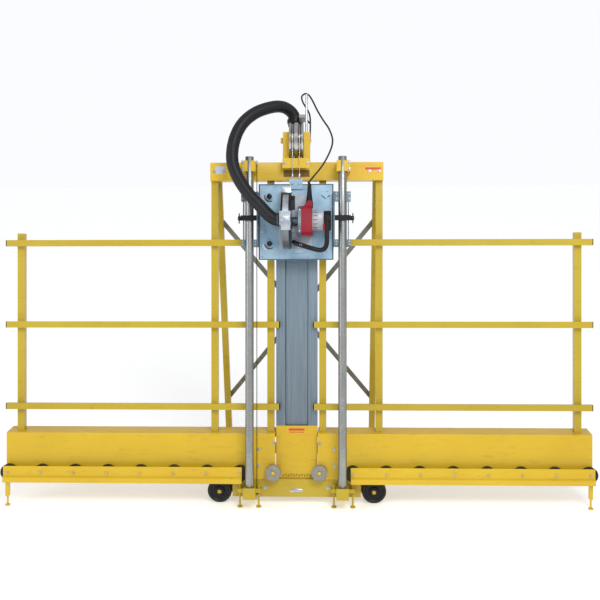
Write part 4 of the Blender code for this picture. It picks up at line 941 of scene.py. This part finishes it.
for side_name, side in (("left", -1), ("right", 1)):
    eased(f"{side_name}_side_bracket", bracket_zinc, "carriage", 0.0008)
    cover_x = sorted((side * 0.1967, side * 0.2762))
    cover = lean(box_shape(cover_x, (LOCK_V - 0.0132, LOCK_V + 0.0132), (0.1025, 0.1102)))
    fittings = [(cover, plastic_black)]
    for v in (1.562, 1.586, 1.332, 1.346):
        for x in (0.2035, 0.2690):
            fittings += hex_bolt((side * x, v, 0.0925), 0.0065)
    for v in (1.398, 1.522):
        fittings += hex_bolt((side * 0.1760, v, PLATE_W), 0.008)
    piece(f"{side_name}_bracket_fittings", fittings, "carriage", crease=25)

    sideways = (side, 0, 0)
    lock_centre = sloped([side * 0.27, LOCK_V, 0.080])
    screw = lathe([(0.0046, -0.0119), (0.0050, -0.0114), (0.0050, 0.0100)], lock_centre, sideways, 24)
    hub = lathe([(0.0085, 0.0061), (0.0105, 0.0066), (0.0110, 0.0080), (0.0110, 0.0205), (0.0098, 0.0232),
                 (0.0040, 0.0240)], lock_centre, sideways, 24,
                wave=lambda angle, height: 0.0004 * np.cos(8 * angle) * (height > 0.007))
    wing = lean(prism_shape(rounded(0.0515, 0.0118, 0.0055) + [LOCK_V, 0.080], side * 0.2842,
                            side * 0.2898))
    piece(f"{side_name}_lock_screw", [(screw, bright_zinc), (hub, plastic_black), (wing, plastic_black)],
          f"{side_name}_carriage_lock", f"{side_name}_carriage_lock", bevel=0.0006)


def arc_plate(x, v, w, radii, angles, thick):
    """A thin plate in the shape of an arc about (x, v), between two radii and two angles in degrees."""
    turn = np.radians(np.linspace(*angles, 28))
    inner = np.stack([x + radii[0] * np.cos(turn), v + radii[0] * np.sin(turn)], -1)
    outer = np.stack([x + radii[1] * np.cos(turn[::-1]), v + radii[1] * np.sin(turn[::-1])], -1)
    return lean(prism_shape(np.vstack([inner, outer]), w, w + thick, "z"))


def knurl(angle, height):
    """The knob's grip: twelve shallow waves round its middle."""
    return 0.0004 * np.cos(12 * angle) * ((height > 0.076) & (height < 0.092))


plate_marks = []
for word, v, angles in (("upper", TURN_V + 0.1285, (155, 300)), ("lower", TURN_V - 0.1110, (185, 310))):
    knob_centre = sloped([PLUNGER_X, v, 0])
    stem = lathe([(0.0064, 0.0624), (0.0068, 0.0628), (0.0068, 0.0742)], knob_centre, OUTWARD, 24)
    knob = lathe([(0.0075, 0.0741), (0.0112, 0.0744), (0.0130, 0.0772), (0.0130, 0.0890), (0.0118, 0.0938),
                  (0.0075, 0.0957), (0.0010, 0.0959)], knob_centre, OUTWARD, 36, wave=knurl)
    piece(f"{word}_plunger_knob", [(stem, bright_zinc), (knob, plastic_black)], f"{word}_index_plunger",
          f"{word}_index_plunger")
    nut = lathe([(0.0078, PLATE_W), (0.0105, PLATE_W), (0.0105, 0.0685), (0.0078, 0.0685)], knob_centre,
                OUTWARD, 6, looped=True)
    plate_marks.append((nut, bright_zinc))
    plate_marks.append((arc_plate(PLUNGER_X, v, PLATE_W, (0.0215, 0.0275), angles, 0.0005), dark_zinc_and_shade))
    plate_marks.append((arc_plate(PLUNGER_X, v, PLATE_W, (0.0280, 0.0380), (angles[0], angles[0] + 55),
                                  0.0004), pale_film))
for x, v in ((0.156, 1.566), (0.160, 1.604), (-0.060, 1.618), (0.156, 1.300), (-0.170, 1.270),
             (0.060, 1.270)):
    plate_marks += hex_bolt((x, v, PLATE_W), 0.007)
for tilt in (-1, 1):
    dash = np.array([(-0.014, -0.0025), (0.014, -0.0025), (0.014, 0.0025), (-0.014, 0.0025)])
    turn = math.radians(38 * tilt)
    dash = dash @ np.array([[math.cos(turn), math.sin(turn)], [-math.sin(turn), math.cos(turn)]])
    plate_marks.append((lean(prism_shape(dash + [0.150 + 0.011 * tilt, 1.578 - 0.004], PLATE_W,
                                         PLATE_W + 0.0004, "z")), dark_zinc_and_shade))
piece("plate_fittings", plate_marks, "carriage", crease=25)

ferrules = []
for x in (-ROPE_X, ROPE_X):
    ferrules.append((lathe([(0.0040, 1.668), (0.0048, 1.670), (0.0048, 1.690), (0.0036, 1.692)],
                           sloped([x, 0, front_w - 0.0005]), UP_SLOPE, 20), bright_zinc))
    ferrules.append((lathe([(0.0030, 0.0730), (0.0062, 0.0730), (0.0062, 0.0775), (0.0050, 0.0785)],
                           sloped([x, 1.640, 0]), OUTWARD, 6), bright_zinc))
piece("rope_ferrules", ferrules, "carriage")

# ---- Turntable and shoe ----
# A steel disc that turns on the carriage plate, with the saw's pressed aluminium shoe bolted to it
# and a slot through both for the blade.
satin_cast, tree, place = new_material("satin_cast_aluminium")
cloud = add_node(tree, "TexNoise", {"Vector": place["Object"], "Scale": 26.0, "Detail": 6.0})
tone = add_node(tree, "Mix", {0: cloud.outputs["Fac"], 6: "#8B95A1", 7: "#C9D1D8"}, data_type="RGBA")
grit = add_node(tree, "TexNoise", {"Vector": place["Object"], "Scale": 500.0, "Detail": 2.0})
relief = add_node(tree, "Bump", {"Height": grit.outputs["Fac"], "Strength": 0.15, "Distance": 0.0003})
rough = add_node(tree, "MapRange", {"Value": cloud.outputs["Fac"], "To Min": 0.28, "To Max": 0.48})
show(tree, add_node(tree, "BsdfPrincipled", {
    "Base Color": tone.outputs[2], "Metallic": 0.9, "Roughness": rough.outputs["Result"],
    "Normal": relief.outputs["Normal"]}))

eased("turntable", blue_zinc, "saw", 0.0006)
shoe_parts = [(lean(box_shape(x, v, (0.0690, 0.0735))), satin_cast)
              for x, v in (((-0.0842, -0.0662), (TURN_V - 0.1402, TURN_V + 0.1402)),
                           ((-0.0218, 0.0802), (TURN_V - 0.1402, TURN_V + 0.1402)))]
piece("saw_shoe", shoe_parts, "saw", bevel=0.0008)

# ---- Blade and guards ----
# A toothed steel blade between a fixed cast aluminium upper guard, with a black trim along its rim,
# and a darker swinging lower guard.
BLADE_X, BLADE_W, BLADE_R = -0.044, 0.1045, 0.130
teeth = 44
tooth = np.tile([0.0, 0.0006, 0.0034, 0.0062, 0.0058, 0.0028], teeth)
turn = np.linspace(0, 2 * math.pi, len(tooth), endpoint=False)
blade_rows = []
for radius, half in ((0.0088, -0.0010), (0.110, -0.0010), (BLADE_R, -0.0011), (BLADE_R, 0.0011),
                     (0.110, 0.0010), (0.0088, 0.0010)):
    r = radius - (tooth if radius == BLADE_R else 0 * tooth)
    blade_rows.append(np.stack([np.full(len(turn), BLADE_X + half), TURN_V + r * np.cos(turn),
                                BLADE_W + r * np.sin(turn)], -1))
blade_uv = np.stack(np.broadcast_arrays(np.linspace(0, 0.8, len(turn) + 1)[None, :],
                                        np.array([0, 0.1, 0.12, 0.122, 0.142, 0.242, 0.244])[:, None]), -1)
piece("blade_finished", [(lean(grid_shape(np.stack(blade_rows), blade_uv, looped=True)), polished)],
      "blade", "blade", crease=30)

dark_guard = clouded_metal("dark_cast_aluminium", "#3E4249", "#8D949C", 24.0, 0.85, (0.25, 0.45))
eased("lower_guard", dark_guard, "lower_guard", 0.0008)
eased("upper_guard", satin_cast, "saw", 0.0012)


def rim_band(x, radii, angles):
    """A band along the guard's rim, between two values of x, two radii and two angles in degrees."""
    turn = np.radians(np.linspace(*angles, 40))
    inner = np.stack([TURN_V + radii[0] * np.cos(turn), BLADE_W + radii[0] * np.sin(turn)], -1)
    outer = np.stack([TURN_V + radii[1] * np.cos(turn[::-1]), BLADE_W + radii[1] * np.sin(turn[::-1])], -1)
    return lean(prism_shape(np.vstack([inner, outer]), *x))


guard_trim = [(rim_band((BLADE_X - 0.0260, BLADE_X - 0.0165), (0.1425, 0.1456), (2, 74)), plastic_black),
              (rim_band((BLADE_X + 0.0125, BLADE_X + 0.0246), (0.1425, 0.1456), (2, 74)), plastic_black),
              (rim_band((BLADE_X - 0.0170, BLADE_X + 0.0150), (0.1425, 0.1456), (14, 27)), plastic_black),
              (rim_band((BLADE_X + 0.0221, BLADE_X + 0.0236), (0.1180, 0.1445), (8, 96)), plastic_black),
              (rim_band((BLADE_X + 0.0221, BLADE_X + 0.0232), (0.0300, 0.1130), (28, 40)), plastic_black)]
# The trim's step towards the gear case, two screws in the guard's side and four in the port box.
step_outline = np.array([(TURN_V + 0.124, 0.150), (TURN_V + 0.112, 0.172), (TURN_V + 0.098, 0.180),
                         (TURN_V + 0.052, 0.182), (TURN_V + 0.052, 0.150), (TURN_V + 0.092, 0.148),
                         (TURN_V + 0.100, 0.140), (TURN_V + 0.112, 0.132)])
guard_trim.append((lean(prism_shape(step_outline, BLADE_X + 0.0222, BLADE_X + 0.0420)), plastic_black))
for v, w in ((TURN_V + 0.070, 0.118), (TURN_V + 0.020, 0.165)):
    guard_trim.append((lathe([(0.0050, 0.0221), (0.0052, 0.0250), (0.0040, 0.0262), (0.0008, 0.0264)],
                             sloped([BLADE_X, v, w]), (1, 0, 0), 18), bright_zinc))
for v, w in ((TURN_V + 0.030, 0.2475), (TURN_V - 0.022, 0.2475)):
    for x in (-0.0690, -0.0270):
        guard_trim += hex_bolt((x, v, w), 0.005)
clip_band = lathe([(0.0332, 0.0075), (0.0352, 0.0075), (0.0352, 0.0165), (0.0332, 0.0165)],
                  sloped([-0.0755, PORT_V, PORT_W]), (-1, 0, 0), 48, looped=True)
guard_trim.append((clip_band, dark_zinc_and_shade))
piece("guard_trim", guard_trim, "saw", crease=30)

# ---- Saw body ----
# A dark die-cast gear case, a red nylon housing with a peak for the flex, a grey motor band with
# dark vent bars and a plain round patch, and a black ribbed end cap.
red_shell, tree, place = new_material("red_nylon_shell")
cloud = add_node(tree, "TexNoise", {"Vector": place["Object"], "Scale": 20.0, "Detail": 5.0})
tone = add_node(tree, "Mix", {0: cloud.outputs["Fac"], 6: "#74041A", 7: "#9C0A24"}, data_type="RGBA")
grit = add_node(tree, "TexNoise", {"Vector": place["Object"], "Scale": 700.0, "Detail": 2.0})
relief = add_node(tree, "Bump", {"Height": grit.outputs["Fac"], "Strength": 0.12, "Distance": 0.0003})
show(tree, add_node(tree, "BsdfPrincipled", {
    "Base Color": tone.outputs[2], "Roughness": 0.42, "IOR": 1.53, "Specular IOR Level": 0.3,
    "Normal": relief.outputs["Normal"]}))
motor_grey = printed("satin_motor_grey", "#8F9296", "#B9BBC0", 0.38)

MOTOR_W = 0.140
motor_centre = sloped([0, TURN_V, MOTOR_W])
shell_outline = np.array([(TURN_V - 0.074, 0.0740), (TURN_V - 0.074, 0.186), (TURN_V - 0.060, 0.200),
                          (TURN_V + 0.052, 0.200), (TURN_V + 0.064, 0.190), (TURN_V + 0.070, 0.172),
                          (TURN_V + 0.070, 0.0740)])
gear_case = lean(prism_shape(shell_outline - [0, 0.0004], 0.0142, 0.0300))
housing = lean(prism_shape(shell_outline, 0.0300, 0.0840))
peak_outline = np.array([(0.0400, TURN_V + 0.066), (0.0840, TURN_V + 0.066), (0.0840, TURN_V + 0.088),
                         (0.0790, TURN_V + 0.097), (0.0620, TURN_V + 0.097), (0.0540, TURN_V + 0.084)])
peak = lean(prism_shape(peak_outline, 0.141, 0.1785, "z"))
body_parts = [(housing, red_shell), (peak, red_shell), (gear_case, dark_guard)]
for v in (TURN_V - 0.056, TURN_V + 0.048):
    body_parts += [(lathe([(0.0036, 0.1996), (0.0042, 0.2000), (0.0042, 0.2012), (0.0030, 0.2018),
                           (0.0008, 0.2018)], sloped([0.0215, v, 0]), OUTWARD, 18), bright_zinc)]
neck = lathe([(0.0215, -0.0212), (0.0220, -0.0206), (0.0220, 0.0100), (0.0260, 0.0130), (0.0260, 0.0142)],
             sloped([0, TURN_V, BLADE_W]), (1, 0, 0), 40)
body_parts.append((neck, dark_guard))
spindle = lathe([(0.0070, -0.0535), (0.0078, -0.0525), (0.0078, -0.0220)], sloped([0, TURN_V, BLADE_W]),
                (1, 0, 0), 24)
body_parts.append((spindle, bright_zinc))
band = lathe([(0.0480, 0.0838), (0.0494, 0.0850), (0.0494, 0.1400), (0.0480, 0.1410)], motor_centre,
             (1, 0, 0), 72)
body_parts.append((band, motor_grey))
cap_rows = [(0.0486, 0.1408), (0.0500, 0.1420)]
for i in range(5):
    start = 0.1435 + 0.0058 * i
    cap_rows += [(0.0500, start), (0.0488, start + 0.0008), (0.0488, start + 0.0026),
                 (0.0500, start + 0.0034)]
cap_rows += [(0.0498, 0.1735), (0.0470, 0.1768), (0.0400, 0.1779), (0.0120, 0.1780)]
body_parts.append((lathe(cap_rows, motor_centre, (1, 0, 0), 72), plastic_black))
slots = []
for i in range(7):
    lift = math.radians(24 * (i - 3))
    v, w = TURN_V + 0.0492 * math.sin(lift), MOTOR_W + 0.0492 * math.cos(lift)
    slots.append((lathe([(0.0012, 0.090), (0.0015, 0.0905), (0.0015, 0.1090), (0.0012, 0.1095)],
                        sloped([0, v, w]), (1, 0, 0), 10), plastic_black))
body_parts += slots
patch_turn = np.linspace(0, 2 * math.pi, 40, endpoint=False)
patch_rows = []
for share, lift in ((1.0, 0.0002), (0.98, 0.0007), (0.5, 0.0007), (0.05, 0.0007)):
    across_x, across_s = 0.0135 * share * np.cos(patch_turn), 0.0135 * share * np.sin(patch_turn) + 0.022
    bend = across_s / 0.0494
    radius = 0.0494 + lift
    patch_rows.append(np.stack([0.1235 + across_x, TURN_V + radius * np.sin(bend),
                                MOTOR_W + radius * np.cos(bend)], -1))
body_parts.append((lean(grid_shape(np.stack(patch_rows))), pale_film))
boot_at = sloped([0.070, 0, 0.160])
boot_rows = [(0.0186, TURN_V + 0.062), (0.0180, TURN_V + 0.092)]
for i in range(14):
    v = TURN_V + 0.094 + 0.0062 * i
    girth = float(np.interp(v, [TURN_V + 0.094, TURN_V + 0.125, TURN_V + 0.182], [0.0165, 0.0130, 0.0082]))
    boot_rows += [(girth, v), (girth, v + 0.0034), (girth - 0.0015, v + 0.0040),
                  (girth - 0.0015, v + 0.0056)]
boot_rows += [(0.0078, TURN_V + 0.1818), (0.0046, TURN_V + 0.1820)]
body_parts.append((lathe(boot_rows, boot_at, UP_SLOPE, 32), plastic_black))
piece("saw_body_finished", body_parts, "saw", "saw_body", bevel=0.0012, crease=40)

# ---- Handle and trigger ----
# A moulded black handle, bent from the gear case round to the motor's end, with two small screws. A
# red trigger slides in it.
LOW, GRIP_X, GRIP_W, GRIP_R = TURN_V - 0.150, 0.157, 0.204, 0.0120
grip_line = sloped(along_curve([
    (-0.006, LOW + 0.048, 0.150), (-0.002, LOW + 0.037, 0.172), (0.030, LOW + 0.025, 0.192),
    (0.078, LOW + 0.010, 0.202), (0.120, LOW, GRIP_W), (0.144, LOW + 0.006, GRIP_W),
    (0.155, LOW + 0.026, GRIP_W), (GRIP_X, LOW + 0.060, GRIP_W), (GRIP_X, LOW + 0.110, GRIP_W),
    (GRIP_X, LOW + 0.165, GRIP_W)], 0.003))


def moulded(run, angle):
    """The grip's radius: rounded ends, with shallow ribs along the stretch that the hand holds."""
    total = length_of(grip_line)
    ends = np.clip(np.minimum(run, total - run) / 0.006, 0.45, 1)
    ribs = 0.00035 * np.cos(2 * math.pi * run / 0.0065) * ((run > 0.05) & (run < 0.125))
    return (GRIP_R - 0.0004) * np.sqrt(ends) + ribs + 0 * angle


handle_parts = [(tube(grip_line, moulded, 28), plastic_black)]
handle_parts.append((lean(box_shape((GRIP_X - 0.010, GRIP_X + 0.010), (LOW + 0.140, LOW + 0.172),
                                    (0.1903, 0.2055))), plastic_black))
handle_parts.append((lean(box_shape((-0.016, 0.0137), (LOW + 0.034, TURN_V - 0.060), (0.110, 0.165))),
                     dark_guard))
for run in (0.060, 0.072):
    at = grip_line[int(run / 0.003)]
    handle_parts.append((lathe([(0.0030, 0.0112), (0.0034, 0.0116), (0.0034, 0.0120), (0.0024, 0.0122)], at,
                               OUTWARD, 14), bright_zinc))
piece("handle_finished", handle_parts, "saw", "handle", bevel=0.0008, crease=40)

trigger_v = TURN_V - 0.037
trigger_outline = rounded(0.0142, 0.0358, 0.0050) + [GRIP_X - 0.01275, trigger_v]
piece("trigger_finished", [(lean(prism_shape(trigger_outline, GRIP_W - 0.0049, GRIP_W + 0.0049, "z")),
                            red_shell)], "trigger", "trigger", bevel=0.0012)
